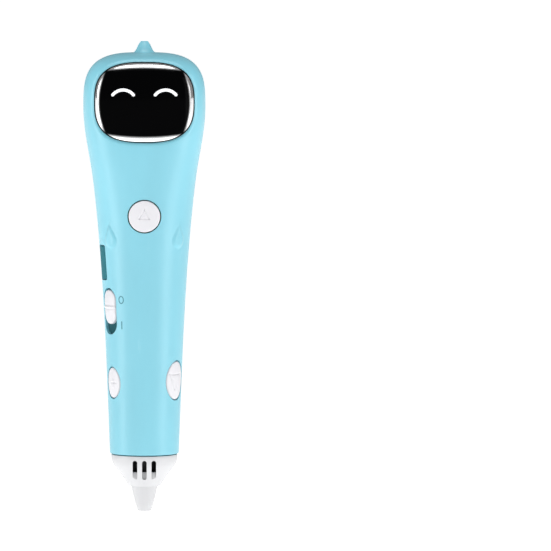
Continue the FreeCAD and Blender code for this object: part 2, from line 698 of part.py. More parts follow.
def build_screws():
    """Four identical pan-head self-tapping screws, one solid each."""
    screws = []
    for x, z in screw_spots():
        frame = along_y(x, "0", z)
        shank = rod("screw_radius", "-screw_reach", "screw_seat", frame)
        head = rod("screw_head_radius", "screw_seat", "screw_seat + screw_head_height", frame)
        screws.append(join(shank, head))
    group = document.addObject("Part::Compound", "screws")
    group.Links = screws
    keep(group, "casing_screws")


def build_face(forms):
    """Face plate, the light pipe whose arcs show as eyes, its circuit board and lamps."""
    plate = overlap(face_prism("fit_gap", "face_outline"), cut(forms["face_front"], forms["face_seat"]))
    keep(cut(plate, eye_prisms("small_gap", "eye_slots")), "face_lens")
    backing = overlap(face_prism("face_ledge + fit_gap", "diffuser_outline"),
                      cut(forms["face_seat"], forms["face_back"]))
    arcs = overlap(eye_prisms("0", "eye_arcs"), cut(forms["face_front"], forms["face_back"]))
    keep(join(backing, arcs), "eye_diffuser")
    board = box(("-face_board_half_width", "face_board_half_width"),
                ("face_board_front", "face_board_front + board_thickness"),
                ("face_level - face_board_half_height", "face_level + face_board_half_height"))
    keep(board, "face_board")
    lamps = []
    for sign in (-1, 1):
        centre = f"{sign} * eye_spacing"
        lamps.append(box((f"{centre} - eye_lamp_half_side", f"{centre} + eye_lamp_half_side"),
                         ("face_board_front - eye_lamp_depth", "face_board_front"),
                         ("eye_top - eye_stroke - eye_lamp_half_height",
                          "eye_top - eye_stroke + eye_lamp_half_height")))
    group = document.addObject("Part::Compound", "lamps")
    group.Links = lamps
    keep(group, "eye_leds")


def build_inlet():
    """Filament inlet on the crown: a bell with a flared foot round a straight bore."""
    crown = "(brow_level + crown_rise)"
    foot = f"({crown} + small_gap)"
    bell = [(f"inlet_foot_radius * {width}", f"{foot} + (inlet_top - {foot}) * {rise}")
            for width, rise in INLET_BELL]
    turned("filament_inlet", (
        ("inlet_bore", f"{crown} - inlet_sink"),
        ("inlet_stem_radius", f"{crown} - inlet_sink"),
        ("inlet_stem_radius", foot),
        *bell,
        ("inlet_bore", "inlet_top"),
    ))


def build_window(forms):
    """Indicator window, the small board behind it and its lamps."""
    frame = window_frame()
    strip = box(("-window_half_width + small_gap", "window_half_width - small_gap"),
                ("window_bottom + small_gap", "window_top - small_gap"), (TOOL_START, REACH), frame)
    keep(overlap(strip, cut(forms["outside"], forms["inside"])), "indicator_window")
    board_top = "(indicator_board_level + board_thickness)"
    keep(box(("-indicator_board_half_width", "indicator_board_half_width"),
             ("window_bottom + indicator_board_margin", "window_top - indicator_board_margin"),
             ("indicator_board_level", board_top), frame), "indicator_board")
    lamps = []
    for number in range(3):
        low = f"window_bottom + indicator_lamp_start + {number} * indicator_lamp_pitch"
        lamps.append(box(("-indicator_lamp_half_width", "indicator_lamp_half_width"),
                         (low, f"{low} + indicator_lamp_length"),
                         (board_top, f"{board_top} + indicator_lamp_height"), frame))
    group = document.addObject("Part::Compound", "lamps")
    group.Links = lamps
    keep(group, "indicator_leds")


# ---------------------------------------------------------------- buttons and switches

def build_button(name, frame, half_width, half_height, forms, flange_top):
    """A button flush with the casing, its flange, and the tactile switch that it presses."""
    cap = overlap(oval_rod(half_width, half_height, f"{flange_top} - flange_thickness / 2", REACH, frame),
                  forms["button_front"])
    flange = oval_rod(f"{half_width} + flange_margin", f"{half_height} + flange_margin",
                      f"{flange_top} - flange_thickness", flange_top, frame)
    foot = f"({flange_top} - flange_thickness)"
    keep(join(cap, flange), f"{name}_button")
    body_top = f"({foot} - plunger_reach)"
    keep(rod("plunger_radius", f"{body_top} - plunger_root", foot, frame), f"{name}_switch_plunger")
    shell = box(("-switch_side / 2", "switch_side / 2"), ("-switch_side / 2", "switch_side / 2"),
                (f"{body_top} - switch_depth", body_top), frame)
    well = rod("plunger_radius + running_gap", f"{body_top} - plunger_root - small_gap * 2 - press_travel",
               f"{body_top} + 1", frame)
    keep(cut(shell, well), f"{name}_switch_body")
    return f"({body_top} - switch_depth)"


def build_buttons(forms):
    """The feed button on the chest and the two side buttons with their own small boards."""
    feed, speed, reverse = button_spots()
    feed_flange_top = "(-board_front + switch_depth + plunger_reach + flange_thickness)"
    build_button(*feed, forms, feed_flange_top)
    for spot in (speed, reverse):
        name, frame, half_width, half_height = spot
        inner = "(grip_half_width - wall)"
        flange_top = f"(sqrt({inner} ^ 2 - ({half_width} + flange_margin) ^ 2) - flange_clearance)"
        base = build_button(name, frame, half_width, half_height, forms, flange_top)
        board = box(("-switch_board_half_width", "switch_board_half_width"),
                    ("-switch_board_half_height", "switch_board_half_height"),
                    (f"{base} - board_thickness", base), frame)
        keep(board, f"{name}_switch_board")


def build_slider(forms):
    """Power slider, its switch lever, switch body and board, in the slider's own frame."""
    frame = slider_frame()
    top = "(slider_slot_top - slider_end_gap)"
    knob = overlap(stadium("slider_slot_half_width - fit_gap", f"{top} - slider_knob_length", top,
                           TOOL_START, REACH, frame), cut(forms["slider_front"], forms["slider_back"]))
    half_stem = "slider_stem / 2"
    middle = stem_middle()
    stem_foot = "(middle_half_width - wall - slider_stem_reach)"
    stem = overlap(box((f"-{half_stem}", half_stem), (f"{middle} - {half_stem}", f"{middle} + {half_stem}"),
                       (stem_foot, REACH), frame), forms["middle"])
    keep(join(knob, stem), "power_slider")
    half_lever = "slider_stem / 4"
    lever_foot = f"({stem_foot} - lever_length)"
    keep(box((f"-{half_lever}", half_lever), (f"{middle} - {half_lever}", f"{middle} + {half_lever}"),
             (lever_foot, stem_foot), frame), "power_switch_lever")
    body_top = f"({stem_foot} - lever_gap)"
    body_foot = f"({body_top} - power_switch_depth)"
    centre = f"({middle} - slider_travel_room / 2)"
    case = box(("-power_switch_half_width", "power_switch_half_width"),
               (f"{centre} - power_switch_half_length", f"{centre} + power_switch_half_length"),
               (body_foot, body_top), frame)
    groove = box((f"-{half_lever} - fit_gap", f"{half_lever} + fit_gap"),
                 (f"{middle} - {half_lever} - slider_travel_room - fit_gap",
                  f"{middle} + {half_lever} + fit_gap"),
                 (f"{lever_foot} - fit_gap - small_gap", f"{body_top} + 1"), frame)
    keep(cut(case, groove), "power_switch_body")
    keep(box(("-power_board_half_width", "power_board_half_width"),
             (f"{centre} - power_board_half_length", f"{centre} + power_board_half_length"),
             (f"{body_foot} - board_thickness", body_foot), frame), "power_switch_board")


# ---------------------------------------------------------------- nozzle end

def build_cap():
    """Vented nozzle cap: turned shoulder and flank, collar into the barrel, vents front and back."""
    slope = math.radians(value("cap_slope"))
    radius = value("cap_top_radius")
    shoulder = value("cap_shoulder")
    top = value("foot_level") - value("small_gap")
    rim = value("cap_rim_level")
    floor = value("cap_floor_level")
    wall = value("cap_wall")
    step_width = value("cap_step_width")
    arc_top = top - value("cap_straight")
    arc_middle, arc_end = (
        Vector(radius - shoulder * (1 - math.cos(angle)), 0, arc_top - shoulder * math.sin(angle))
        for angle in (slope / 2, slope))
    rim_radius = arc_end.x - (arc_end.z - rim) * math.tan(slope)
    collar = value("foot_half_width") - value("wall") - value("small_gap")
    cone_bore = value("cone_radius") + value("fit_gap")
    flange_bore = value("cone_flange_radius") + value("small_gap")
    flange_level = value("cone_flange_level")
    collar_top = value("foot_level") + value("spigot_length")
    corners = [Vector(rim_radius, 0, rim), Vector(cone_bore, 0, rim), Vector(cone_bore, 0, flange_level),
               Vector(flange_bore, 0, flange_level), Vector(flange_bore, 0, floor),
               Vector(radius - 1.5 * step_width - wall, 0, floor),
               Vector(radius - step_width / 2 - wall, 0, floor + value("cap_step_rise")),
               Vector(collar - wall / 2, 0, top), Vector(collar - wall / 2, 0, collar_top),
               Vector(collar, 0, collar_top), Vector(collar, 0, top), Vector(radius, 0, top),
               Vector(radius, 0, arc_top)]
    edges = [Part.LineSegment(a, b).toShape() for a, b in zip(corners, corners[1:])]
    edges.append(Part.Arc(corners[-1], arc_middle, arc_end).toShape())
    edges.append(Part.LineSegment(arc_end, corners[0]).toShape())
    blank = Part.Face(Part.Wire(edges)).revolve(Vector(0, 0, 0), Vector(0, 0, 1), 360)
    cap = solid(blank, "cap_blank")
    vents = []
    for side in (0, 180):
        frame = facing(side, "0")
        for step in (-1, 0, 1):
            shifted = frame.multiply(place(f"{step} * vent_spacing", 0, 0))
            vents.append(stadium("vent_half_width", "vent_bottom", "vent_top", "vent_floor", REACH, shifted))
    keep(cut(cap, *vents), "nozzle_cap")


def build_hot_end():
    """Insulating cone, melt tube, heater, insulation, temperature sensor and the holding disc."""
    flange_top = "cone_flange_level + cone_flange_height"
    turned("nozzle_cone", (
        ("tip_radius + small_gap", "0"),
        ("cone_tip_radius", "0"),
        ("cone_radius", "cone_level"),
        ("cone_radius", "cone_flange_level + small_gap"),
        ("cone_flange_radius", "cone_flange_level + small_gap"),
        ("cone_flange_radius", flange_top),
        ("tube_radius + small_gap", flange_top),
        ("tube_radius + small_gap", "tube_shoulder - small_gap"),
        ("tip_radius + small_gap", "tip_length - small_gap"),
    ))
    turned("melt_tube", (
        ("outlet_radius", "0"),
        ("tip_radius", "0"),
        ("tip_radius", "tip_length"),
        ("tube_radius", "tube_shoulder"),
        ("tube_radius", "tube_top"),
        ("filament_bore", "tube_top"),
        ("filament_bore", "outlet_length + 1"),
        ("outlet_radius", "outlet_length"),
    ))
    turned("heater_sleeve", ring_outline("tube_radius + small_gap", "heater_radius",
                                         "heater_bottom", "heater_top"))
    turned("insulation_sleeve", ring_outline("heater_radius + small_gap", "insulation_radius",
                                             "heater_bottom - insulation_margin",
                                             "heater_top + insulation_margin"))
    keep(rod("thermistor_radius", "heater_top + small_gap", "heater_top + thermistor_length",
             place("tube_radius + thermistor_offset", 0, 0)), "thermistor")
    holder_top = "holder_bottom + holder_height"
    outer = "(foot_half_width + (grip_half_width - foot_half_width) * (holder_bottom - foot_level) / " \
            "(grip_level - foot_level) - wall - fit_gap - small_gap)"
    turned("hot_end_holder", ring_outline("tube_radius + small_gap", outer, "holder_bottom", holder_top))


def ring_outline(inner, outer, bottom, top):
    """Outline of a plain ring."""
    return ((inner, bottom), (outer, bottom), (outer, top), (inner, top))


# ---------------------------------------------------------------- feed drive

FEED_DEPTH = "(feed_wheel_radius + filament_pinch)"
CENTRES = "((pinion_teeth + gear_teeth) * gear_module / 2)"
FEED_LEVEL = f"(motor_level - sqrt({CENTRES} ^ 2 - (motor_depth - {FEED_DEPTH}) ^ 2))"
IDLER_DEPTH = "(-idler_radius - filament_pinch)"
PIVOT_LEVEL = f"({FEED_LEVEL} - idler_arm_length)"


def gear_shape(teeth, phase, bore, width):
    """A spur gear with involute flanks, one tooth centred on the phase angle."""
    module = value("gear_module")
    pitch_radius = module * teeth / 2
    pressure = math.radians(value("pressure_angle"))
    base_radius = pitch_radius * math.cos(pressure)
    tip = pitch_radius + 0.9 * module
    root = pitch_radius - 1.15 * module
    half_tooth = math.pi / (2 * teeth) - value("tooth_backlash") / (2 * pitch_radius)

    def half_angle(radius):
        lean = math.acos(min(1.0, base_radius / max(radius, base_radius)))
        return half_tooth + (math.tan(pressure) - pressure) - (math.tan(lean) - lean)

    start = max(base_radius, root)
    radii = [root] + [start + (tip - start) * step / FLANK_STEPS for step in range(FLANK_STEPS + 1)]
    points = []
    for tooth in range(teeth):
        centre = phase + 2 * math.pi * tooth / teeth
        for radius in radii:
            angle = centre - half_angle(radius)
            points.append(Vector(radius * math.cos(angle), radius * math.sin(angle), 0))
        for radius in reversed(radii):
            angle = centre + half_angle(radius)
            points.append(Vector(radius * math.cos(angle), radius * math.sin(angle), 0))
    return bored_prism(points, bore, width)


def knurled_shape(radius, bore, width):
    """A wheel with straight sharp ridges round its rim."""
    points = []
    for step in range(2 * KNURLS):
        reach = radius - KNURL_DEPTH * (step % 2)
        angle = math.pi * step / KNURLS
        points.append(Vector(reach * math.cos(angle), reach * math.sin(angle), 0))
    return bored_prism(points, bore, width)


def bored_prism(points, bore, width):
    """A polygon prism with a round bore on local Z."""
    outline = Part.makePolygon(points + points[:1])
    prism = Part.Face(outline).extrude(Vector(0, 0, width))
    return prism.cut(Part.makeCylinder(bore, width))


def build_gears():
    """Motor shaft and pinion, feed axle, gear, knurled wheel and the two bushes of the axle."""
    shaft_start = "gearbox_end - motor_shaft_root"
    gear_end = "gear_plane + gear_width"
    motor_frame = along_x("0", "motor_depth", "motor_level")
    feed_frame = along_x("0", FEED_DEPTH, FEED_LEVEL)
    keep(rod("motor_shaft_radius", shaft_start, f"{gear_end} + shaft_end", motor_frame), "motor_shaft")
    keep(rod("axle_radius", "-frame_outer - axle_end", f"{gear_end} + shaft_end", feed_frame), "feed_axle")
    towards_motor = math.atan2(value(f"motor_level - {FEED_LEVEL}"), value(f"motor_depth - {FEED_DEPTH}"))
    pinion_teeth = int(value("pinion_teeth"))
    gap_phase = towards_motor + math.pi + math.pi / pinion_teeth
    width = value("gear_width")
    keep(solid(gear_shape(pinion_teeth, gap_phase, value("motor_shaft_radius"), width), "pinion",
               along_x("gear_plane", "motor_depth", "motor_level")), "drive_pinion")
    keep(solid(gear_shape(int(value("gear_teeth")), towards_motor, value("axle_radius"), width), "gear",
               along_x("gear_plane", FEED_DEPTH, FEED_LEVEL)), "feed_gear")
    keep(solid(knurled_shape(value("feed_wheel_radius"), value("axle_radius"),
                             2 * value("feed_wheel_half_width")), "wheel",
               along_x("-feed_wheel_half_width", FEED_DEPTH, FEED_LEVEL)), "feed_wheel")
    bushes = [cut(rod("axle_radius + bush_wall", start, end, feed_frame),
                  rod("axle_radius + running_gap", start, end, feed_frame))
              for start, end in (("-frame_outer", "-frame_inner"), ("frame_inner", "frame_outer"))]
    group = document.addObject("Part::Compound", "bushes")
    group.Links = bushes
    keep(group, "axle_bushes")


def build_motor():
    """Flat-sided motor can, gearbox with a hollow for its shaft, and the clamp over the gearbox."""
    frame = along_x("0", "motor_depth", "motor_level")
    gearbox_start = "(gearbox_end - gearbox_length)"
    can = overlap(rod("motor_radius", f"{gearbox_start} - motor_length", gearbox_start, frame),
                  box(("-motor_flat", "motor_flat"), ("-motor_radius", "motor_radius"),
                      (f"{gearbox_start} - motor_length", gearbox_start), frame))
    keep(can, "motor_can")
    case = box(("-motor_flat", "motor_flat"), ("-motor_radius", "motor_radius"),
               (gearbox_start, "gearbox_end"), frame)
    keep(cut(case, rod("motor_shaft_radius + running_gap", "gearbox_end - motor_shaft_root - fit_gap",
                       "gearbox_end + 1", frame)), "gearbox")
    strap_span = ("gearbox_end - clamp_setback - clamp_width", "gearbox_end - clamp_setback")
    strap = box(("-motor_flat - plate_thickness", "motor_flat + plate_thickness"),
                ("-motor_radius", "motor_radius + plate_thickness"), strap_span, frame)
    room = box(("-motor_flat - small_gap", "motor_flat + small_gap"),
               ("-motor_radius - 1", "motor_radius + small_gap"), strap_span, frame)
    keep(cut(strap, room), "motor_clamp")


def build_feed_frame():
    """Two cheeks with cross plates and the spring's seat; bushes and pivot pin pass through them."""
    top = "(motor_level - motor_radius - small_gap)"
    seat_back = "-spring_seat_front"
    parts = []
    for sign in ("-", ""):
        inner, outer = (f"{sign}frame_inner", f"{sign}frame_outer")
        span = (outer, inner) if sign else (inner, outer)
        parts.append(box(span, ("-frame_front", "frame_back"), ("frame_bottom", top)))
        parts.append(box(span, (seat_back, "-frame_front"), (f"{top} - frame_ear", top)))
    across = ("-frame_outer", "frame_outer")
    parts.append(box(across, ("-plate_clearance", "frame_back"),
                     ("frame_bottom", "frame_bottom + plate_thickness")))
    parts.append(box(across, ("plate_clearance", "frame_back + frame_shelf"),
                     (f"{top} - plate_thickness", top)))
    parts.append(box(across, (f"{seat_back} - plate_thickness", seat_back),
                     (f"{top} - frame_ear", f"{top} + spring_seat_rise")))
    through = ("-frame_outer - 1", "frame_outer + 1")
    bores = [rod("axle_radius + bush_wall", *through, along_x("0", FEED_DEPTH, FEED_LEVEL)),
             rod("axle_radius", *through, along_x("0", IDLER_DEPTH, PIVOT_LEVEL)),
             rod("guide_tube_radius + small_gap", "frame_bottom - 1", "frame_bottom + 3", place())]
    keep(cut(join(*parts), *bores), "feed_frame")


def build_idler():
    """Sprung idler arm on its pivot pin, with the idler wheel on its own pin, and the spring."""
    idler_frame = along_x("0", IDLER_DEPTH, FEED_LEVEL)
    pivot_frame = along_x("0", IDLER_DEPTH, PIVOT_LEVEL)
    bridge_low = f"({FEED_LEVEL} + idler_radius + idler_bridge_gap)"
    bridge_high = f"({FEED_LEVEL} + idler_bridge_top)"
    depth = (f"{IDLER_DEPTH} - idler_cheek_half_depth", f"{IDLER_DEPTH} + idler_cheek_half_depth")
    parts = []
    for span in (("-idler_arm_outer", "-idler_arm_inner"), ("idler_arm_inner", "idler_arm_outer")):
        parts.append(box(span, depth, (PIVOT_LEVEL, bridge_low)))
        parts.append(rod("axle_radius + bush_wall", *span, pivot_frame))
    parts.append(box(("-idler_arm_outer", "idler_arm_outer"), ("-idler_bridge_front", depth[1]),
                     (bridge_low, bridge_high)))
    bores = [rod("axle_radius + running_gap", "-frame_inner", "frame_inner", pivot_frame),
             rod("axle_radius", "-frame_inner", "frame_inner", idler_frame)]
    keep(cut(join(*parts), *bores), "idler_arm")
    keep(rod("axle_radius", "-frame_outer", "frame_outer", pivot_frame), "idler_pivot_pin")
    keep(rod("axle_radius", "-idler_arm_outer", "idler_arm_outer", idler_frame), "idler_pin")
    keep(cut(rod("idler_radius", "-idler_half_width", "idler_half_width", idler_frame),
             rod("axle_radius + running_gap", "-idler_half_width", "idler_half_width", idler_frame)),
         "idler_wheel")
    margin = "(spring_wire_radius + small_gap)"
    length = value(f"spring_seat_front - idler_bridge_front - 2 * {margin}")
    coil = value("spring_coil_radius")
    helix = Part.makeHelix(length / value("spring_turns"), length, coil)
    wire = Part.makeCircle(value("spring_wire_radius"), Vector(coil, 0, 0), Vector(0, 1, 0))
    spring = Part.Wire(helix.Edges).makePipeShell([Part.Wire(wire)], True, True)
    start = along_y("0", f"-spring_seat_front + {margin}", f"({bridge_low} + {bridge_high}) / 2")
    keep(solid(spring, "spring", start), "idler_spring")


def build_guides():
    """Filament guide tubes below and above the feed wheels."""
    turned("lower_guide_tube", ring_outline("filament_bore", "guide_tube_radius", "tube_top + small_gap",
                                            f"{FEED_LEVEL} - feed_wheel_radius - guide_gap"))
    turned("upper_guide_tube", ring_outline("filament_bore", "guide_tube_radius",
                                            f"{FEED_LEVEL} + feed_wheel_radius + 3 * guide_gap",
                                            "brow_level + crown_rise - inlet_sink - small_gap"))


# ---------------------------------------------------------------- power and control

def build_electronics():
    """Cell with its foam, stepped main board with its parts, charging board and socket."""
    cell_back = "(battery_front + battery_depth)"
    cell_top = "(battery_bottom + battery_length)"
    keep(box(("-battery_half_width", "battery_half_width"), ("battery_front", cell_back),
             ("battery_bottom", cell_top)), "battery")
    keep(box(("-battery_half_width + foam_margin", "battery_half_width - foam_margin"),
             ("guide_tube_radius + fit_gap + 2 * small_gap", "battery_front - small_gap"),
             ("battery_bottom + foam_end_margin", f"{cell_top} - foam_end_margin")), "battery_foam")
    padded("main_board", (
        ("-board_narrow", "board_bottom"),
        ("board_half_width", "board_bottom"),
        ("board_half_width", "board_top"),
        ("-board_half_width", "board_top"),
        ("-board_half_width", "board_step"),
        ("-board_narrow", "board_step"),
    ), "board_thickness", facing(0, "0").multiply(place(0, 0, "-board_front - board_thickness")))
    keep(box(("part_left - chip_height / 2", "part_left - chip_height / 2 + chip_side"),
             ("board_front - chip_height", "board_front"),
             ("board_bottom + chip_rise", "board_bottom + chip_rise + chip_side")), "control_chip")
    connectors = [box(("part_left", "part_left + connector_length"),
                      ("board_front - connector_height", "board_front"),
                      (f"board_bottom + {rise}", f"board_bottom + {rise} + connector_width"))
                  for rise in CONNECTOR_RISES]
    group = document.addObject("Part::Compound", "connectors")
    group.Links = connectors
    keep(group, "board_connectors")
    floor = "(socket_level - socket_half_height)"
    keep(box(("-charge_board_half_width", "charge_board_half_width"),
             ("charge_board_front", "charge_board_back"), (f"{floor} - board_thickness", floor)),
         "charge_board")
    shell = box(("-socket_half_width", "socket_half_width"),
                ("socket_mouth - socket_length", "socket_mouth"),
                (floor, "socket_level + socket_half_height"))
    hollow = box(("-socket_half_width + socket_wall", "socket_half_width - socket_wall"),
                 ("socket_mouth - socket_length + 1", "socket_mouth + 1"),
                 (f"{floor} + socket_wall", "socket_level + socket_half_height - socket_wall"))
    tongue = box(("-tongue_half_width", "tongue_half_width"),
                 ("socket_mouth - socket_length + 2 * socket_wall", "socket_mouth - 5 * socket_wall"),
                 ("socket_level - tongue_half_height", "socket_level + tongue_half_height"))
    keep(join(cut(shell, hollow), tongue), "charge_socket")


# ---------------------------------------------------------------- checks and files

def check_document():
    """Stop at any failed object or unusable sub-part."""
    for thing in document.Objects:
        if {"Invalid", "Error"} & set(thing.State):
            raise RuntimeError(f"{thing.Label} ({thing.Name}) failed: {thing.State}")
    for node, thing in nodes.items():
        if thing.Shape.isNull() or not thing.Shape.isValid() or not thing.Shape.Solids:
            raise RuntimeError(f"{node} has no valid solid")


def main():
    """Build every sub-part and write each to its own file."""
    fill_sheet()
    forms = build_forms()
    build_front_shell(forms)
    build_back_shell(forms)
    build_screws()
    build_face(forms)
    build_inlet()
    build_window(forms)
    build_buttons(forms)
    build_slider(forms)
    build_cap()
    build_hot_end()
    build_gears()
    build_motor()
    build_feed_frame()
    build_idler()
    build_guides()
    build_electronics()
    document.recompute()
    check_document()
    os.makedirs("parts", exist_ok=True)
    for node, thing in nodes.items():
        thing.Shape.exportStep(f"parts/{node}.step")
    print(f"{len(nodes)} sub-parts written")


if __name__ == "__main__":
    main()
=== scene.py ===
"""Looks of a hand-held 3-D drawing pen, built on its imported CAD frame."""
import json
import logging
import math
from dataclasses import dataclass, field
from enum import Enum
from typing import Callable, Sequence

import bpy
import numpy as np
from mathutils import Matrix, Vector


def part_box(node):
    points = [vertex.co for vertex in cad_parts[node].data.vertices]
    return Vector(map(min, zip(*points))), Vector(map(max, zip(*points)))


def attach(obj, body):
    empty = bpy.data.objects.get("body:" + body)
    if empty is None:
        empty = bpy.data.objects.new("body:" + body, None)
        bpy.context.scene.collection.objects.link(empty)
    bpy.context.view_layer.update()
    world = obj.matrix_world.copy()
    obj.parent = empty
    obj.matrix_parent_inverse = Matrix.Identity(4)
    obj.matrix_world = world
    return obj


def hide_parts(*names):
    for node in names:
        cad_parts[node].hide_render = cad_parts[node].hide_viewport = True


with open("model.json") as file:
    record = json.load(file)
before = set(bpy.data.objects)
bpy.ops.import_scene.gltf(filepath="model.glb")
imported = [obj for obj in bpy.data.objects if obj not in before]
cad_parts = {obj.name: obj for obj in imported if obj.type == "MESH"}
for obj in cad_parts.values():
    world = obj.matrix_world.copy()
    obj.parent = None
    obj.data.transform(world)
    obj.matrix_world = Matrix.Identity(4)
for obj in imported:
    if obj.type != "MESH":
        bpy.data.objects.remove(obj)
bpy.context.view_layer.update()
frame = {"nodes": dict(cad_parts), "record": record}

MM = 0.001
TURN = 2 * math.pi
PEN = "pen"
LOG = logging.getLogger("drawing_pen")

Array = np.ndarray
Outline = Callable[[Array], tuple[Array, Array]]
Relief = Callable[[Array, Array], Array]


# ---------------------------------------------------------------- shader building

class Shading:
    """Builds the node tree of one material, or of the world."""

    def __init__(self, name: str, world: bpy.types.World | None = None) -> None:
        """Start an empty tree.

        Args:
            name: the material's name.
            world: the world to light, in place of a new material.
        """
        self.owner = world or bpy.data.materials.new(name)
        self.owner.use_nodes = True
        self.tree = self.owner.node_tree
        self.tree.nodes.clear()

    def node(self, kind: str, settings: dict | None = None, inputs: dict | None = None) -> bpy.types.Node:
        """Add a node.

        Args:
            kind: the node's type.
            settings: attributes that are set before the sockets.
            inputs: values or links, by socket name or number.

        Returns:
            The node.
        """
        made = self.tree.nodes.new(kind)
        for name, setting in (settings or {}).items():
            setattr(made, name, setting)
        for key, content in (inputs or {}).items():
            self.feed(made.inputs[key], content)
        return made

    def feed(self, socket: bpy.types.NodeSocket, content: object) -> None:
        """Link or set one socket.

        Args:
            socket: the input.
            content: a Field, a node socket or a plain value.
        """
        if isinstance(content, Field):
            content = content.socket
        if isinstance(content, bpy.types.NodeSocket):
            self.tree.links.new(content, socket)
        elif isinstance(content, (tuple, list)) and len(socket.default_value) == 4 and len(content) == 3:
            socket.default_value = (*content, 1.0)
        else:
            socket.default_value = content

    def field(self, kind: str, settings: dict | None = None, inputs: dict | None = None,
              output: int | str = 0) -> "Field":
        """Add a node and wrap one of its outputs."""
        return Field(self, self.node(kind, settings, inputs).outputs[output])

    def place(self) -> "Field":
        """Object coordinates, in metres."""
        return self.field("ShaderNodeTexCoord", output="Object")

    def axes(self) -> tuple["Field", "Field", "Field"]:
        """Object coordinates as three numbers in millimetres."""
        split = self.node("ShaderNodeSeparateXYZ", None, {0: self.place()})
        across, along, up = (Field(self, output) / MM for output in split.outputs)
        return across, along, up

    def noise(self, scale_mm: float, detail: float = 3.0, roughness: float = 0.55,
              stretch: tuple[float, float, float] = (1, 1, 1)) -> "Field":
        """Fractal noise whose features are about a size in millimetres."""
        spot = self.field("ShaderNodeVectorMath", {"operation": "MULTIPLY"}, {0: self.place(), 1: stretch})
        return self.field("ShaderNodeTexNoise", None,
                          {"Vector": spot, "Scale": 1 / (scale_mm * MM), "Detail": detail,
                           "Roughness": roughness})

    def cells(self, size_mm: float) -> "Field":
        """Distance from the middle of round cells about a size apart."""
        return self.field("ShaderNodeTexVoronoi", None, {"Vector": self.place(), "Scale": 1 / (size_mm * MM)},
                          "Distance")

    def blend(self, factor: object, first: object, second: object) -> "Field":
        """Mix two colours."""
        mix = self.node("ShaderNodeMix", {"data_type": "RGBA", "clamp_factor": True},
                        {0: factor, 6: first, 7: second})
        return Field(self, mix.outputs[2])

    def step(self, amount: "Field", low: float, high: float) -> "Field":
        """Smooth step from 0 at low to 1 at high."""
        return self.field("ShaderNodeMapRange", {"interpolation_type": "SMOOTHSTEP"},
                          {0: amount, 1: low, 2: high, 3: 0.0, 4: 1.0})

    def bump(self, height: "Field", depth_mm: float, under: object = None) -> "Field":
        """Bump from a height between 0 and 1."""
        inputs = {"Strength": 1.0, "Distance": depth_mm * MM, "Height": height}
        if under is not None:
            inputs["Normal"] = under
        return self.field("ShaderNodeBump", None, inputs)

    def finish(self, **inputs: object) -> bpy.types.Material:
        """Close the tree with a Principled shader.

        Args:
            inputs: sockets with underscores for spaces.

        Returns:
            The material.
        """
        named = {key.replace("_", " "): content for key, content in inputs.items()}
        shader = self.node("ShaderNodeBsdfPrincipled", None, named)
        self.node("ShaderNodeOutputMaterial", None, {"Surface": shader.outputs[0]})
        return self.owner


def operation(name: str, reflected: bool = False) -> Callable[..., "Field"]:
    """Make a method that adds one Math node.

    Args:
        name: the node's operation.
        reflected: whether the other value comes first.

    Returns:
        The method.
    """
    def method(self: "Field", other: object = 0.0) -> "Field":
        """Arithmetic on a field and another value."""
        first, second = (other, self) if reflected else (self, other)
        return self.shading.field("ShaderNodeMath", {"operation": name}, {0: first, 1: second})
    return method


@dataclass(frozen=True)
class Field:
    """A value that varies over a surface, with arithmetic that adds Math nodes."""

    shading: Shading
    socket: bpy.types.NodeSocket

    __add__ = __radd__ = operation("ADD")
    __sub__ = operation("SUBTRACT")
    __rsub__ = operation("SUBTRACT", reflected=True)
    __mul__ = __rmul__ = operation("MULTIPLY")
    __truediv__ = operation("DIVIDE")
    __abs__ = operation("ABSOLUTE")
    __pow__ = operation("POWER")
    larger = operation("MAXIMUM")
    modulo = operation("FLOORED_MODULO")


# ---------------------------------------------------------------- finishes

Colour = tuple[float, float, float]


def tinted(colour: Colour, factor: float) -> Colour:
    """A colour made lighter or darker.

    Args:
        colour: linear red, green and blue.
        factor: 1 keeps it.

    Returns:
        The new colour, never above 1.
    """
    return tuple(min(1.0, part * factor) for part in colour)


@dataclass(frozen=True)
class MouldedPlastic:
    """Injection-moulded plastic: faint flow marks, fine spark texture and handling marks."""

    name: str
    colour: Colour
    roughness: float = 0.36
    texture_mm: float = 0.35
    texture_depth_mm: float = 0.004
    coat: float = 0.15
    variation: float = 0.035
    subsurface: float = 0.0
    scuff: Colour = (0.9, 0.92, 0.93)
    scuff_share: float = 0.06
    wave_mm: float = 0.02

    def build(self) -> bpy.types.Material:
        """Make the material."""
        make = Shading(self.name)
        flow = make.noise(22, 4, 0.5, (1, 1, 0.35))
        mottle = make.noise(2.2, 3)
        colour = make.blend(make.step(flow, 0.3, 0.7), tinted(self.colour, 1 - self.variation),
                            tinted(self.colour, 1 + self.variation))
        scuffs = make.step(make.noise(3.5, 6, 0.75, (1, 1, 0.2)), 0.60, 0.78)
        colour = make.blend(scuffs * self.scuff_share, colour, self.scuff)
        spark = make.noise(self.texture_mm, 2)
        waves = make.bump(flow, self.wave_mm)
        return make.finish(
            Base_Color=colour,
            Roughness=self.roughness + mottle * 0.07 + scuffs * 0.10,
            Normal=make.bump(spark, self.texture_depth_mm, waves),
            Coat_Weight=self.coat,
            Coat_Roughness=0.22,
            Subsurface_Weight=self.subsurface,
            Subsurface_Radius=(0.8, 1.0, 1.0),
            Subsurface_Scale=1.2 * MM,
        )


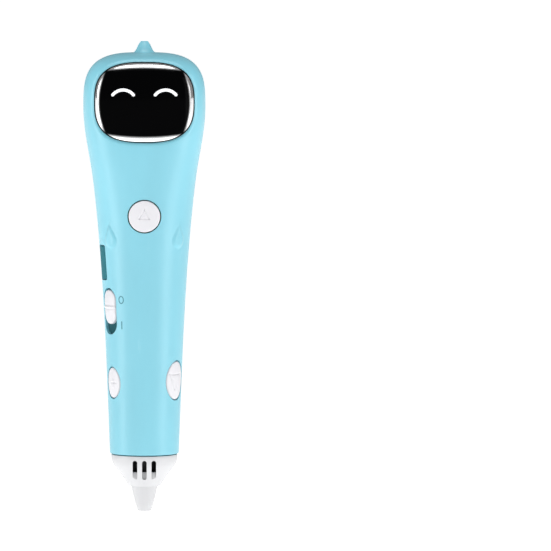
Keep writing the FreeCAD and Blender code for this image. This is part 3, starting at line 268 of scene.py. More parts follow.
@dataclass(frozen=True)
class FaceGloss:
    """High-gloss black plate whose bevelled rim carries a metallic band between its four corners, masked to the shape
    of the rim highlights: a painted highlight that the lamps still light, with a black edge as painted shade of the
    gap.
    """

    name: str
    middle_mm: float
    side_mm: float = 16.95
    side_bow: float = 0.0176
    top_mm: float = 12.75
    top_bow: float = 0.0048
    fade_mm: float = 1.25
    half_width_mm: float = 19.0
    half_height_mm: float = 15.15
    squareness: float = 2.8
    gap_shade_share: float = 0.978
    gap_shade_fade: float = 0.006
    fade_start_mm: float = -0.15
    fade_power: float = 1.35
    black: Colour = (0.0012, 0.0012, 0.0014)
    highlight_mirror: Colour = (0.97, 0.975, 0.98)

    def build(self) -> bpy.types.Material:
        """Make the material."""
        make = Shading(self.name)
        across, _, up = make.axes()
        rise = up - self.middle_mm
        side = abs(across) - self.side_mm + rise * rise * self.side_bow
        ends = abs(rise) - self.top_mm + across * across * self.top_bow
        share = (abs(across) / self.half_width_mm) ** self.squareness
        share = (share + (abs(rise) / self.half_height_mm) ** self.squareness) ** (1 / self.squareness)
        # Near the outline the plate stays black: painted shade of the gap round the plate.
        line = make.step(share, self.gap_shade_share, self.gap_shade_share + self.gap_shade_fade)
        # Metallic mirror band masked to the rim highlights' shape and fading at the corners: painted highlight.
        rim = make.step(side.larger(ends), self.fade_start_mm, self.fade_mm) ** self.fade_power * (1 - line)
        haze = make.noise(5, 5, 0.7)
        smears = make.step(make.noise(9, 5, 0.6, (1, 1, 0.5)), 0.5, 0.8)
        return make.finish(
            Base_Color=make.blend(rim, self.black, self.highlight_mirror),
            Metallic=rim,
            Roughness=0.06 + haze * 0.03 + smears * 0.05,
            Specular_IOR_Level=0.012,
            Normal=make.bump(make.noise(12, 2), 0.01),
        )


@dataclass(frozen=True)
class GlowingPlastic:
    """Milky light pipe lit from behind."""

    name: str
    colour: Colour
    glow: float

    def build(self) -> bpy.types.Material:
        """Make the material."""
        make = Shading(self.name)
        milk = make.noise(0.8, 3)
        colour = make.blend(milk, tinted(self.colour, 0.97), self.colour)
        return make.finish(Base_Color=colour, Roughness=0.25 + milk * 0.1, Emission_Color=colour,
                           Emission_Strength=self.glow, Normal=make.bump(milk, 0.003))


@dataclass(frozen=True)
class TintedPanel:
    """Dark tinted plastic with a fine vertical brush."""

    name: str
    colour: Colour
    roughness: float = 0.5

    def build(self) -> bpy.types.Material:
        """Make the material."""
        make = Shading(self.name)
        brush = make.noise(0.5, 4, 0.6, (1, 1, 0.06))
        depth = make.noise(6, 2)
        colour = make.blend(depth, tinted(self.colour, 0.82), tinted(self.colour, 1.12))
        colour = make.blend(brush * 0.25, colour, tinted(self.colour, 1.5))
        return make.finish(Base_Color=colour, Roughness=self.roughness + brush * 0.12,
                           Specular_IOR_Level=0.12, Normal=make.bump(brush, 0.004))


@dataclass(frozen=True)
class TurnedMetal:
    """Metal with fine tool marks and a little tarnish."""

    name: str
    colour: Colour
    roughness: float = 0.28
    stretch: tuple[float, float, float] = (1, 1, 12)

    def build(self) -> bpy.types.Material:
        """Make the material."""
        make = Shading(self.name)
        marks = make.noise(0.6, 4, 0.6, self.stretch)
        tarnish = make.step(make.noise(4, 5, 0.65), 0.45, 0.75)
        colour = make.blend(tarnish * 0.5, self.colour, tinted(self.colour, 0.62))
        return make.finish(Base_Color=colour, Metallic=1.0,
                           Roughness=self.roughness + marks * 0.12 + tarnish * 0.12,
                           Normal=make.bump(marks, 0.004))


@dataclass(frozen=True)
class CircuitBoard:
    """Solder mask over copper tracks and round pads."""

    name: str
    mask: Colour = (0.012, 0.16, 0.06)
    track_mm: float = 1.3
    pad_spacing_mm: float = 2.4
    pad: Colour = (0.72, 0.70, 0.62)

    def build(self) -> bpy.types.Material:
        """Make the material."""
        make = Shading(self.name)
        across, along, _ = make.axes()
        wander = make.noise(7, 2) * 3.0
        tracks = make.step(abs((across + along + wander).modulo(self.track_mm) - self.track_mm / 2), 0.28, 0.36)
        pads = 1 - make.step(make.cells(self.pad_spacing_mm), 0.13, 0.17)
        colour = make.blend(tracks, self.mask, tinted(self.mask, 1.8))
        colour = make.blend(pads, colour, self.pad)
        return make.finish(Base_Color=colour, Metallic=pads * 0.9, Roughness=0.38 - tracks * 0.06,
                           Normal=make.bump(tracks + pads, 0.03))


@dataclass(frozen=True)
class SoftFoam:
    """Closed-cell foam with open pores on its cut faces; the pores are painted darker, as painted shade in them."""

    name: str
    colour: Colour
    pore_mm: float = 0.5

    def build(self) -> bpy.types.Material:
        """Make the material."""
        make = Shading(self.name)
        pores = make.cells(self.pore_mm)
        # Darker in the pores: painted shade.
        colour = make.blend(make.step(pores, 0.1, 0.5), tinted(self.colour, 0.55), self.colour)
        return make.finish(Base_Color=colour, Roughness=0.9, Normal=make.bump(pores, 0.08))


@dataclass(frozen=True)
class CellFoil:
    """Crimped foil pouch with soft creases and a printed band."""

    name: str
    top_mm: float
    band_drop_mm: float = 6.0
    band_half_mm: float = 2.4
    edge_mm: float = 2.6
    foil: Colour = (0.62, 0.63, 0.66)
    band: Colour = (0.85, 0.62, 0.10)

    def build(self) -> bpy.types.Material:
        """Make the material."""
        make = Shading(self.name)
        _, _, up = make.axes()
        creases = make.noise(3, 5, 0.6)
        distance = abs(up - (self.top_mm - self.band_drop_mm))
        band = 1 - make.step(distance, self.band_half_mm, self.edge_mm)
        colour = make.blend(band, self.foil, self.band)
        return make.finish(Base_Color=colour, Metallic=0.9 - band * 0.9, Roughness=0.32 + creases * 0.15,
                           Normal=make.bump(creases, 0.12))


class Slot(Enum):
    """Material slots of the record."""

    SHELL = "shell_cyan"
    FACE = "face_black"
    LIGHT_PIPE = "light_pipe"
    BUTTON = "button_white"
    CAP = "cap_white"
    WINDOW = "window_teal"
    INNER = "inner_plastic"
    BLACK = "black_plastic"
    BOARD = "board_green"
    STEEL = "steel"
    BRASS = "brass"
    LAMP = "lamp"
    FOAM = "foam"
    FOIL = "cell_foil"
    TUBE = "tube_white"
    CERAMIC = "ceramic"


class Palette:
    """Makes each finish once and hands it out by slot."""

    def __init__(self) -> None:
        """Build every finish."""
        low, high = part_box("face_lens")
        middle = (low[2] + high[2]) / 2 / MM
        cell_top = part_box("battery")[1][2] / MM
        finishes = {
            Slot.SHELL: MouldedPlastic("cyan_shell", (0.213, 0.555, 0.665), 0.34, subsurface=0.05),
            Slot.FACE: FaceGloss("black_face", middle),
            Slot.LIGHT_PIPE: GlowingPlastic("eye_glow", (0.60, 0.61, 0.62), 0.80),
            Slot.BUTTON: MouldedPlastic("white_button", (0.69, 0.685, 0.715), 0.42, variation=0.012),
            Slot.CAP: MouldedPlastic("white_cap", (0.585, 0.587, 0.60), 0.42, variation=0.012),
            Slot.WINDOW: TintedPanel("teal_window", (0.016, 0.145, 0.178)),
            Slot.INNER: MouldedPlastic("natural_plastic", (0.62, 0.61, 0.57), 0.5),
            Slot.BLACK: MouldedPlastic("black_plastic", (0.020, 0.020, 0.022), 0.45),
            Slot.BOARD: CircuitBoard("circuit_board"),
            Slot.STEEL: TurnedMetal("ground_steel", (0.58, 0.58, 0.60)),
            Slot.BRASS: TurnedMetal("turned_brass", (0.66, 0.46, 0.17), 0.24),
            Slot.LAMP: GlowingPlastic("lamp_resin", (0.93, 0.90, 0.74), 0.2),
            Slot.FOAM: SoftFoam("foam", (0.035, 0.035, 0.037)),
            Slot.FOIL: CellFoil("cell_foil", cell_top),
            Slot.TUBE: MouldedPlastic("guide_tube", (0.82, 0.82, 0.80), 0.3),
            Slot.CERAMIC: MouldedPlastic("ceramic", (0.72, 0.69, 0.64), 0.55, 0.2, 0.01, 0.0),
        }
        self.materials = {slot: finish.build() for slot, finish in finishes.items()}
        # Dark teal for cut walls, the casing's inner skin and the slider's floor: painted shade in the openings.
        self.shadow = MouldedPlastic("opening_painted_shade", (0.003, 0.075, 0.092), 0.9, coat=0.0).build()
        self.print = MouldedPlastic("teal_print", (0.050, 0.230, 0.290), 0.5, coat=0.0).build()
        # Dark grey for the symbols' stroke faces: painted shade in the engraved grooves.
        self.engraving = MouldedPlastic("engraving_painted_shade", (0.10, 0.10, 0.11), 0.5, coat=0.0).build()

    def dress(self, piece: bpy.types.Object, slot: Slot, finish: bpy.types.Material | None = None,
              second: bpy.types.Material | None = None) -> None:
        """Give a new piece the finish of its slot, or another finish.

        Args:
            piece: the piece.
            slot: the record's slot, whose finish it gets unless another is given.
            finish: another finish than the slot's own.
            second: finish of the faces with the second material number.
        """
        main = finish or self.materials[slot]
        piece.data.materials.clear()
        for chosen in (main, second or main):
            piece.data.materials.append(chosen)

    def dress_frame(self) -> None:
        """Give every CAD node the finish of its own slot."""
        slots = {row["node"]: Slot(row["material_slot"]) for row in frame["record"]["subparts"]}
        for node, piece in frame["nodes"].items():
            piece.data.materials.clear()
            piece.data.materials.append(self.materials[slots[node]])


# ---------------------------------------------------------------- mesh building

TOOL_REACH = 30.0
RIM_STEPS = 9
CUT_SHARP = 30.0


def smoothed(mesh: bpy.types.Mesh, sharp_degrees: float) -> None:
    """Shade a mesh smooth, but for edges sharper than an angle."""
    mesh.shade_smooth()
    mesh.set_sharp_from_angle(angle=math.radians(sharp_degrees))


def make_piece(name: str, points: Array, faces: Sequence[Sequence[int]], body: str,
               sharp_degrees: float = 32.0) -> bpy.types.Object:
    """Make a smooth-shaded mesh object that rides on a body.

    Args:
        name: the piece's name.
        points: vertices, in metres.
        faces: vertex numbers of each face.
        body: the body that it rides on, or an empty text for a tool that rides on nothing.
        sharp_degrees: edges sharper than this stay crisp.

    Returns:
        The object.
    """
    mesh = bpy.data.meshes.new(name)
    mesh.from_pydata([tuple(point) for point in points], [], [tuple(face) for face in faces])
    mesh.update()
    smoothed(mesh, sharp_degrees)
    piece = bpy.data.objects.new(name, mesh)
    bpy.context.scene.collection.objects.link(piece)
    if body:
        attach(piece, body)
    return piece


def grid_faces(rows: int, columns: int, closed: bool, first: int = 0, flip: bool = False) -> list[tuple]:
    """Quads of a grid of vertices stored row by row.

    Args:
        rows: number of rows.
        columns: number of columns.
        closed: whether the last column joins the first.
        first: number of the grid's first vertex.
        flip: turn the faces over.

    Returns:
        The faces.
    """
    faces = []
    span = columns if closed else columns - 1
    for row in range(rows - 1):
        for column in range(span):
            here = first + row * columns + column
            beside = first + row * columns + (column + 1) % columns
            quad = (here, beside, beside + columns, here + columns)
            faces.append(quad[::-1] if flip else quad)
    return faces


def loop_faces(rows: int, columns: int) -> list[tuple]:
    """Quads of a grid that closes on itself both ways, such as a ring of closed section."""
    total = rows * columns
    return [tuple(number % total for number in face) for face in grid_faces(rows + 1, columns, True)]


def closed_skins(outer: Array, inner: Array) -> tuple[Array, list]:
    """Join two facing grids of points round their borders.

    Args:
        outer: points of the outer skin, by row and column.
        inner: points of the inner skin, in the same order.

    Returns:
        Vertices, and faces with the outer skin's first.
    """
    rows, columns = outer.shape[:2]
    count = rows * columns
    faces = grid_faces(rows, columns, False) + grid_faces(rows, columns, False, count, True)
    border = (list(range(columns))
              + [row * columns + columns - 1 for row in range(1, rows)]
              + [(rows - 1) * columns + column for column in range(columns - 2, -1, -1)]
              + [row * columns for row in range(rows - 2, 0, -1)])
    for here, beside in zip(border, border[1:] + border[:1]):
        faces.append((beside, here, here + count, beside + count))
    return np.concatenate([outer.reshape(-1, 3), inner.reshape(-1, 3)]), faces


def facing(azimuth: float, level_mm: float) -> Matrix:
    """Frame whose Z points out of the casing and whose Y points up, in metres.

    Args:
        azimuth: degrees from the front, positive towards +X.
        level_mm: height of its origin.

    Returns:
        The frame's matrix.
    """
    turn = Matrix.Rotation(math.radians(azimuth), 4, "Z") @ Matrix.Rotation(math.pi / 2, 4, "X")
    return Matrix.Translation((0, 0, level_mm * MM)) @ turn


def shifted(azimuth: float, level_mm: float, across_mm: float) -> Matrix:
    """The facing frame, moved sideways along its own X."""
    return facing(azimuth, level_mm) @ Matrix.Translation((across_mm * MM, 0, 0))


def transformed(matrix: Matrix, points_mm: Array) -> Array:
    """Take points in a frame's millimetres to the pen's metres."""
    grid = np.array(matrix)
    return points_mm * MM @ grid[:3, :3].T + grid[:3, 3]


def oval_share(across: Array, up: Array, half_width: Array, half_height: Array, squareness: Array) -> Array:
    """How far out points lie towards a superellipse, which is at 1."""
    return (abs(across / half_width) ** squareness + abs(up / half_height) ** squareness) ** (1 / squareness)


def superellipse(half_width: float, half_height: float, squareness: float) -> Outline:
    """Outline of a superellipse, as a function of an angle."""
    def outline(angles: Array) -> tuple[Array, Array]:
        """Points at polar angles."""
        across, up = np.cos(angles), np.sin(angles)
        reach = (abs(across / half_width) ** squareness + abs(up / half_height) ** squareness)
        reach = reach ** (-1 / squareness)
        return across * reach, up * reach
    return outline


def stadium(half_width: float, half_length: float) -> Outline:
    """Outline of an upright slot shape, as a function of an angle."""
    straight = half_length - half_width
    total = TURN * half_width + 4 * straight

    def outline(angles: Array) -> tuple[Array, Array]:
        """Points at even shares of the outline's length."""
        run = (angles / TURN % 1.0) * total
        arc = math.pi * half_width
        half = arc + 2 * straight
        lower = run >= half
        run = np.where(lower, run - half, run)
        side = run - straight
        turn = np.clip(side / half_width, 0, math.pi)
        across = half_width * np.cos(turn)
        up = np.where(side < 0, run, np.where(side > arc, straight - (side - arc),
                                              straight + half_width * np.sin(turn)))
        sign = np.where(lower, -1.0, 1.0)
        return across * sign, up * sign
    return outline


def outline_ring(outline: Outline, segments: int) -> tuple[Array, Array]:
    """Points of an outline and its outward normals.

    Args:
        outline: the outline.
        segments: number of points.

    Returns:
        Two arrays of x and y.
    """
    angles = np.arange(segments) * TURN / segments
    step = 1e-3
    points = np.stack(outline(angles), axis=1)
    tangent = np.stack(outline(angles + step), axis=1) - np.stack(outline(angles - step), axis=1)
    normal = np.stack([tangent[:, 1], -tangent[:, 0]], axis=1)
    return points, normal / np.linalg.norm(normal, axis=1, keepdims=True)


@dataclass(frozen=True)
class Rim:
    """How a cap's edge rounds over, in millimetres."""

    width: float
    drop: float
    skirt: float


def domed_cap(name: str, outline: Outline, height: Relief, rim: Rim, matrix: Matrix, body: str,
              rings: int = 40, segments: int = 160) -> bpy.types.Object:
    """A closed cap: a top surface, a rounded rim and a straight skirt.

    Args:
        name: the piece's name.
        outline: its outline in the frame's XY, in millimetres.
        height: height of its top over XY, in millimetres.
        rim: its edge.
        matrix: its frame.
        body: the body that it rides on.
        rings: rings between the middle and the rim.
        segments: points round it.

    Returns:
        The object.
    """
    points, normals = outline_ring(outline, segments)
    inner = points - normals * rim.width
    layers = []
    for share in np.linspace(0, 1, rings + 1)[1:]:
        spot = inner * share
        layers.append(np.column_stack([spot, height(spot[:, 0], spot[:, 1])]))
    for turn in np.linspace(0, math.pi / 2, RIM_STEPS)[1:]:
        spot = inner + normals * rim.width * math.sin(turn)
        top = height(spot[:, 0], spot[:, 1]) - rim.drop * (1 - math.cos(turn))
        layers.append(np.column_stack([spot, top]))
    foot = layers[-1].copy()
    foot[:, 2] -= rim.skirt
    layers.append(foot)
    zero = np.zeros(1)
    centre = np.array([[0, 0, float(height(zero, zero)[0])]])
    base = np.array([[0, 0, float(foot[:, 2].min())]])
    vertices = np.concatenate([centre, *layers, base])
    faces = [(0, 1 + step, 1 + (step + 1) % segments) for step in range(segments)]
    faces += grid_faces(len(layers), segments, True, 1, True)
    last = 1 + (len(layers) - 1) * segments
    end = len(vertices) - 1
    faces += [(end, last + (step + 1) % segments, last + step) for step in range(segments)]
    return make_piece(name, transformed(matrix, vertices), faces, body)


def prism(outline: Outline, matrix: Matrix, near: float, far: float, segments: int = 128) -> tuple[Array, list]:
    """Vertices and faces of a closed prism along a frame's Z, in metres."""
    points, _ = outline_ring(outline, segments)
    low = np.column_stack([points, np.full(segments, near)])
    high = np.column_stack([points, np.full(segments, far)])
    faces = grid_faces(2, segments, True)
    faces.append(tuple(range(segments))[::-1])
    faces.append(tuple(range(segments, 2 * segments)))
    return transformed(matrix, np.concatenate([low, high])), faces


def joined(parts: Sequence[tuple[Array, list]]) -> tuple[Array, list]:
    """Put several vertex and face lists into one."""
    vertices, faces, count = [], [], 0
    for points, loops in parts:
        vertices.append(points)
        faces += [tuple(number + count for number in loop) for loop in loops]
        count += len(points)
    return np.concatenate(vertices), faces


def cut_away(piece: bpy.types.Object, tools: Sequence[tuple[Array, list]]) -> None:
    """Cut closed tools out of a piece; the cut walls keep the second material slot.

    Args:
        piece: the piece, whose mesh is replaced.
        tools: vertices and faces of each tool.
    """
    tool = make_piece("cutting_tool", *joined(tools), "")
    for _ in range(2):
        piece.data.materials.append(None)
        tool.data.materials.append(None)
    for polygon in tool.data.polygons:
        polygon.material_index = 1
    modifier = piece.modifiers.new("openings", "BOOLEAN")
    modifier.operation = "DIFFERENCE"
    modifier.solver = "EXACT"
    modifier.object = tool
    graph = bpy.context.evaluated_depsgraph_get()
    result = bpy.data.meshes.new_from_object(piece.evaluated_get(graph))
    piece.modifiers.clear()
    result.name = piece.name
    piece.data = result
    bpy.data.objects.remove(tool)


def readings(elements: bpy.types.bpy_prop_collection, name: str) -> Array:
    """One attribute of all vertices, corners or faces of a mesh, in one flat row."""
    width = 3 if name in ("co", "normal") else 1
    values = np.empty(len(elements) * width, dtype=float if width == 3 else np.int64)
    elements.foreach_get(name, values)
    return values


def lathe(profile: Sequence[tuple[float, float]], segments: int = 192) -> tuple[Array, list]:
    """A closed profile of (radius, level) in millimetres turned about the pen's axis.

    Args:
        profile: corners in order, without repeating the first.
        segments: steps round the axis.

    Returns:
        Vertices in metres, and faces.
    """
    angles = np.arange(segments) * TURN / segments
    rows = [np.column_stack([radius * np.cos(angles), radius * np.sin(angles), np.full(segments, level)])
            for radius, level in profile]
    return np.concatenate(rows) * MM, loop_faces(len(profile), segments)


def arc(centre: tuple[float, float], radii: tuple[float, float], start: float, end: float,
        steps: int) -> list[tuple[float, float]]:
    """Points of an elliptic arc in a profile, angles in degrees."""
    return [(centre[0] + radii[0] * math.cos(math.radians(angle)),
             centre[1] + radii[1] * math.sin(math.radians(angle)))
            for angle in np.linspace(start, end, steps)]


# ---------------------------------------------------------------- the casing's form

@dataclass(frozen=True)
class Teardrop:
    """Raised arm of the casing: a round foot that narrows to a point above."""

    azimuth: float
    level: float = 104.4
    foot_radius: float = 3.4
    point_radius: float = 0.35
    rise: float = 6.3
    relief: float = 0.62
    edge: float = 1.8

    def height(self, across: Array, up: Array) -> Array:
        """Relief at distances from its centre, in millimetres."""
        across = abs(across)
        lean = (self.foot_radius - self.point_radius) / self.rise
        steep = math.sqrt(1 - lean * lean)
        along = -lean * across + steep * up
        foot = np.hypot(across, up) - self.foot_radius
        point = np.hypot(across, up - self.rise) - self.point_radius
        flank = across * steep + up * lean - self.foot_radius
        distance = np.where(along < 0, foot, np.where(along > steep * self.rise, point, flank))
        share = np.clip(-distance / self.edge, 0, 1)
        return self.relief * np.sin(share * math.pi / 2) ** 1.4


@dataclass
class CasingForm:
    """The casing's outside: superellipse sections on a smooth profile, closed by a crown."""

    levels: tuple = (22.2, 50.0, 80.0, 100.0, 119.0, 132.0, 143.5, 155.0)
    half_widths: tuple = (13.2, 14.25, 15.65, 17.0, 18.75, 20.4, 22.35, 23.35)
    half_depths: tuple = (13.2, 14.25, 15.5, 16.6, 17.7, 18.5, 19.0, 19.2)
    squareness: tuple = (2.0, 2.0, 2.0, 2.0, 2.15, 2.5, 2.85, 3.0)
    crown_rise: float = 20.6
    crown_power: float = 3.2
    arms: tuple = (Teardrop(-49.0), Teardrop(49.0))
    face_level: float = 157.1
    face_half_width: float = 19.15
    face_half_height: float = 15.3
    face_squareness: float = 2.8
    lip_width: float = 1.5
    lip_dip: float = 0.62
    edge_round: float = 0.35
    nearest: float = 3.0
    halvings: int = 34

    def __post_init__(self) -> None:
        """Prepare the smooth profile curves."""
        self.curves = [self._spline(values) for values in (self.half_widths, self.half_depths, self.squareness)]

    def _spline(self, values: Sequence[float]) -> tuple[Array, Array]:
        """Second derivatives of a cubic through the stations, free at the foot and level at the top."""
        knots, heights = np.array(self.levels), np.array(values)
        count = len(knots)
        step = np.diff(knots)
        slope = np.diff(heights) / step
        matrix, right = np.zeros((count, count)), np.zeros(count)
        matrix[0, 0] = 1
        for row in range(1, count - 1):
            matrix[row, row - 1:row + 2] = step[row - 1], 2 * (step[row - 1] + step[row]), step[row]
            right[row] = 6 * (slope[row] - slope[row - 1])
        matrix[-1, -2:] = step[-1], 2 * step[-1]
        right[-1] = -6 * slope[-1]
        return heights, np.linalg.solve(matrix, right)

    def section(self, level: Array) -> tuple[Array, Array, Array]:
        """Half width, half depth and squareness at levels up to the widest."""
        knots = np.array(self.levels)
        level = np.clip(level, knots[0] - 1, knots[-1])
        index = np.clip(np.searchsorted(knots, level) - 1, 0, len(knots) - 2)
        low, high = knots[index], knots[index + 1]
        step = high - low
        below, above = (high - level) / step, (level - low) / step
        out = []
        for heights, bend in self.curves:
            bow = ((below ** 3 - below) * bend[index] + (above ** 3 - above) * bend[index + 1]) * step ** 2 / 6
            out.append(below * heights[index] + above * heights[index + 1] + bow)
        return tuple(out)

    def outside(self, points: Array) -> Array:
        """Negative inside the plain casing and positive outside, for points in millimetres."""
        across, along, level = points[..., 0], points[..., 1], points[..., 2]
        half_width, half_depth, power = self.section(level)
        share = oval_share(across, along, half_width, half_depth, power)
        top = np.clip((level - self.levels[-1]) / self.crown_rise, 0, None)
        return (share ** self.crown_power + top ** self.crown_power) ** (1 / self.crown_power) - 1

    def normal(self, points: Array) -> Array:
        """Outward normals of the plain casing."""
        return self._gradient(self.outside, points, True)

    @staticmethod
    def _gradient(function: Callable[[Array], Array], points: Array, unit: bool) -> Array:
        """Central differences of a function of points."""
        step = 0.01
        parts = []
        for axis in range(3):
            shift = np.zeros(3)
            shift[axis] = step
            parts.append((function(points + shift) - function(points - shift)) / (2 * step))
        slope = np.stack(parts, axis=-1)
        if unit:
            slope = slope / np.maximum(np.linalg.norm(slope, axis=-1, keepdims=True), 1e-9)
        return slope

    def relief(self, points: Array) -> Array:
        """Height of arms, face lip and rounded edges over the plain casing, in millimetres."""
        across, along, level = points[..., 0], points[..., 1], points[..., 2]
        radius = np.hypot(across, along)
        azimuth = np.arctan2(across, -along)
        rise = np.zeros_like(level)
        for arm in self.arms:
            rise += arm.height(radius * (azimuth - math.radians(arm.azimuth)), level - arm.level)
        up = level - self.face_level
        share = oval_share(across, up, self.face_half_width, self.face_half_height, self.face_squareness)
        reach = np.hypot(across, up)
        gap = np.clip(reach * (1 - 1 / np.maximum(share, 0.2)) / self.lip_width, 0, 1)
        rise -= np.where(along < 0, self.lip_dip * (1 - gap) ** 2, 0)
        for distance in (abs(along), level - self.levels[0]):
            near = np.clip(1 - distance / self.edge_round, 0, 1)
            rise -= self.edge_round * (1 - np.sqrt(1 - near ** 2 * 0.999))
        return rise

    def shaded_normal(self, points: Array) -> Array:
        """Outward normals with the relief taken in."""
        plain = self.normal(points)
        slope = self._gradient(self.relief, points, False)
        slope -= plain * np.sum(slope * plain, axis=-1, keepdims=True)
        turned = plain - slope
        return turned / np.linalg.norm(turned, axis=-1, keepdims=True)

    def grid(self, polar: Array, steps: Array) -> Array:
        """Plain surface points at polar angles, for profile steps 0 to 1 below the crown and 1 to 2 on it."""
        below = np.clip(steps, 0, 1)
        lean = np.clip(steps - 1, 0, 1) * math.pi / 2
        power = 2 / self.crown_power
        shrink = np.cos(lean) ** power
        level = self.levels[0] + below * (self.levels[-1] - self.levels[0])
        half_width, half_depth, squareness = (part[:, None] for part in self.section(level))
        across, along = np.cos(polar)[None, :], np.sin(polar)[None, :]
        reach = (abs(across / half_width) ** squareness + abs(along / half_depth) ** squareness)
        reach = reach ** (-1 / squareness) * shrink[:, None]
        height = level + self.crown_rise * np.sin(lean) ** power
        return np.stack([across * reach, along * reach, np.broadcast_to(height[:, None], reach.shape)], axis=-1)

    def height_in(self, matrix: Matrix) -> Relief:
        """Height of the plain casing over a frame's XY, as a function of two arrays in millimetres."""
        turn = np.array(matrix)[:3, :3]
        origin = np.array(matrix)[:3, 3] / MM

        def height(across: Array, up: Array) -> Array:
            """Solve along the frame's Z."""
            low, high = np.full(across.shape, self.nearest), np.full(across.shape, TOOL_REACH)
            for _ in range(self.halvings):
                middle = (low + high) / 2
                spot = np.stack([across, up, middle], axis=-1) @ turn.T + origin
                beyond = self.outside(spot) > 0
                low, high = np.where(beyond, low, middle), np.where(beyond, middle, high)
            return (low + high) / 2
        return height


# ---------------------------------------------------------------- the casing

@dataclass
class Casing:
    """Front and back halves of the moulded casing with all their openings."""

    form: CasingForm
    palette: Palette
    wall: float = 2.0
    gap: float = 0.32
    columns: int = 108
    rows: int = 190
    crown_rows: int = 44
    seam_steps: tuple = (0.0, 0.004, 0.009, 0.014, 0.020)
    first_column: float = 0.028
    foot_steps: tuple = (0.0, 0.0006, 0.0012, 0.0019, 0.0026)
    first_row: float = 0.004
    crown_end: float = 0.985
    face_cut_from: float = 8.0
    cut_from: float = 6.0

    def half(self, name: str, front: bool, tools: Sequence[tuple[Array, list]]) -> bpy.types.Object:
        """Build one half.

        Args:
            name: name of the piece.
            front: whether it is the front half.
            tools: what is cut out of it.

        Returns:
            The piece.
        """
        edge = np.array(self.seam_steps)
        middle = np.linspace(self.first_column, 1 - self.first_column, self.columns)
        polar = math.pi * np.concatenate([edge, middle, 1 - edge[::-1]]) + (math.pi if front else 0)
        steps = np.concatenate([self.foot_steps, np.linspace(self.first_row, 1, self.rows),
                                1 + np.linspace(0, self.crown_end, self.crown_rows)[1:]])
        plain = self.form.grid(polar, steps)
        normal = self.form.normal(plain)
        outer = plain + normal * self.form.relief(plain)[..., None]
        inner = plain - normal * self.wall
        inner[0, :, 2] = outer[0, :, 2]
        inner[:, (0, -1), 1] = 0
        outer[:, (0, -1), 1] = 0
        vertices, faces = closed_skins(outer, inner)
        outside = (len(steps) - 1) * (len(polar) - 1)
        piece = make_piece(name, vertices * MM, faces, PEN)
        # The inner skin keeps the second slot, which gets the painted-shade finish.
        for polygon in piece.data.polygons[outside:]:
            polygon.material_index = 1
        cut_away(piece, tools)
        self.smooth_outside(piece.data)
        return piece

    def smooth_outside(self, mesh: bpy.types.Mesh) -> None:
        """Give the outer skin the form's own normals, however it was cut.

        Args:
            mesh: the cut mesh.
        """
        shaded = self.form.shaded_normal(readings(mesh.vertices, "co").reshape(-1, 3) / MM)
        corner_vertex = readings(mesh.loops, "vertex_index")
        owner = np.repeat(np.arange(len(mesh.polygons)), readings(mesh.polygons, "loop_total"))
        normals = readings(mesh.polygons, "normal").reshape(-1, 3)[owner]
        skin = readings(mesh.polygons, "material_index")[owner] == 0
        normals[skin] = shaded[corner_vertex[skin]]
        mesh.polygons.foreach_set("use_smooth", np.ones(len(mesh.polygons), dtype=bool))
        mesh.normals_split_custom_set([tuple(normal) for normal in normals])

    def build(self, controls: Sequence["Control"], back_tools: Sequence[tuple[Array, list]]) -> None:
        """Build and dress both halves.

        Args:
            controls: buttons, slider and window, whose openings the front half has.
            back_tools: what is cut out of the back half.
        """
        face = superellipse(self.form.face_half_width, self.form.face_half_height, self.form.face_squareness)
        tools = [prism(face, facing(0, self.form.face_level), self.face_cut_from, TOOL_REACH, segments=220)]
        tools += [prism(control.opening(self.gap), control.matrix, self.cut_from, TOOL_REACH) for control in controls]
        front = self.half("casing_front", True, tools)
        back = self.half("casing_back", False, back_tools)
        for piece, node in ((front, "front_shell"), (back, "back_shell")):
            # Cut walls and the inner skin get dark teal painted shade.
            self.palette.dress(piece, Slot.SHELL, second=self.palette.shadow)
            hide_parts(node)
            LOG.info("%s: %d faces", piece.name, len(piece.data.polygons))


# ---------------------------------------------------------------- controls on the casing

class Symbol(Enum):
    """Generic signs on the controls."""

    NONE = "none"
    UP = "up"
    DOWN = "down"
    PLUS = "plus"
    RIDGE = "ridge"


def line_distance(across: Array, up: Array, start: tuple[float, float], end: tuple[float, float]) -> Array:
    """Distance of points from a straight stroke."""
    run = np.subtract(end, start)
    share = ((across - start[0]) * run[0] + (up - start[1]) * run[1]) / float(run @ run)
    share = np.clip(share, 0, 1)
    return np.hypot(across - start[0] - share * run[0], up - start[1] - share * run[1])


@dataclass(frozen=True)
class Ridge:
    """Finger ridge across the power knob, with a groove on either side."""

    rise: float = 0.42
    half_width: float = 0.34
    groove_depth: float = 0.16
    groove_spot: float = 0.75
    groove_half_width: float = 0.3
    reach: float = 1.25

    def height(self, share: Array, up: Array) -> Array:
        """Relief at shares of the half width and distances from the middle, in millimetres."""
        fade = np.clip(self.reach - abs(share), 0, 1) ** 0.5
        ridge = self.rise * np.exp(-(up / self.half_width) ** 4)
        groove = self.groove_depth * np.exp(-((abs(up) - self.groove_spot) / self.groove_half_width) ** 2)
        return fade * (ridge - groove)


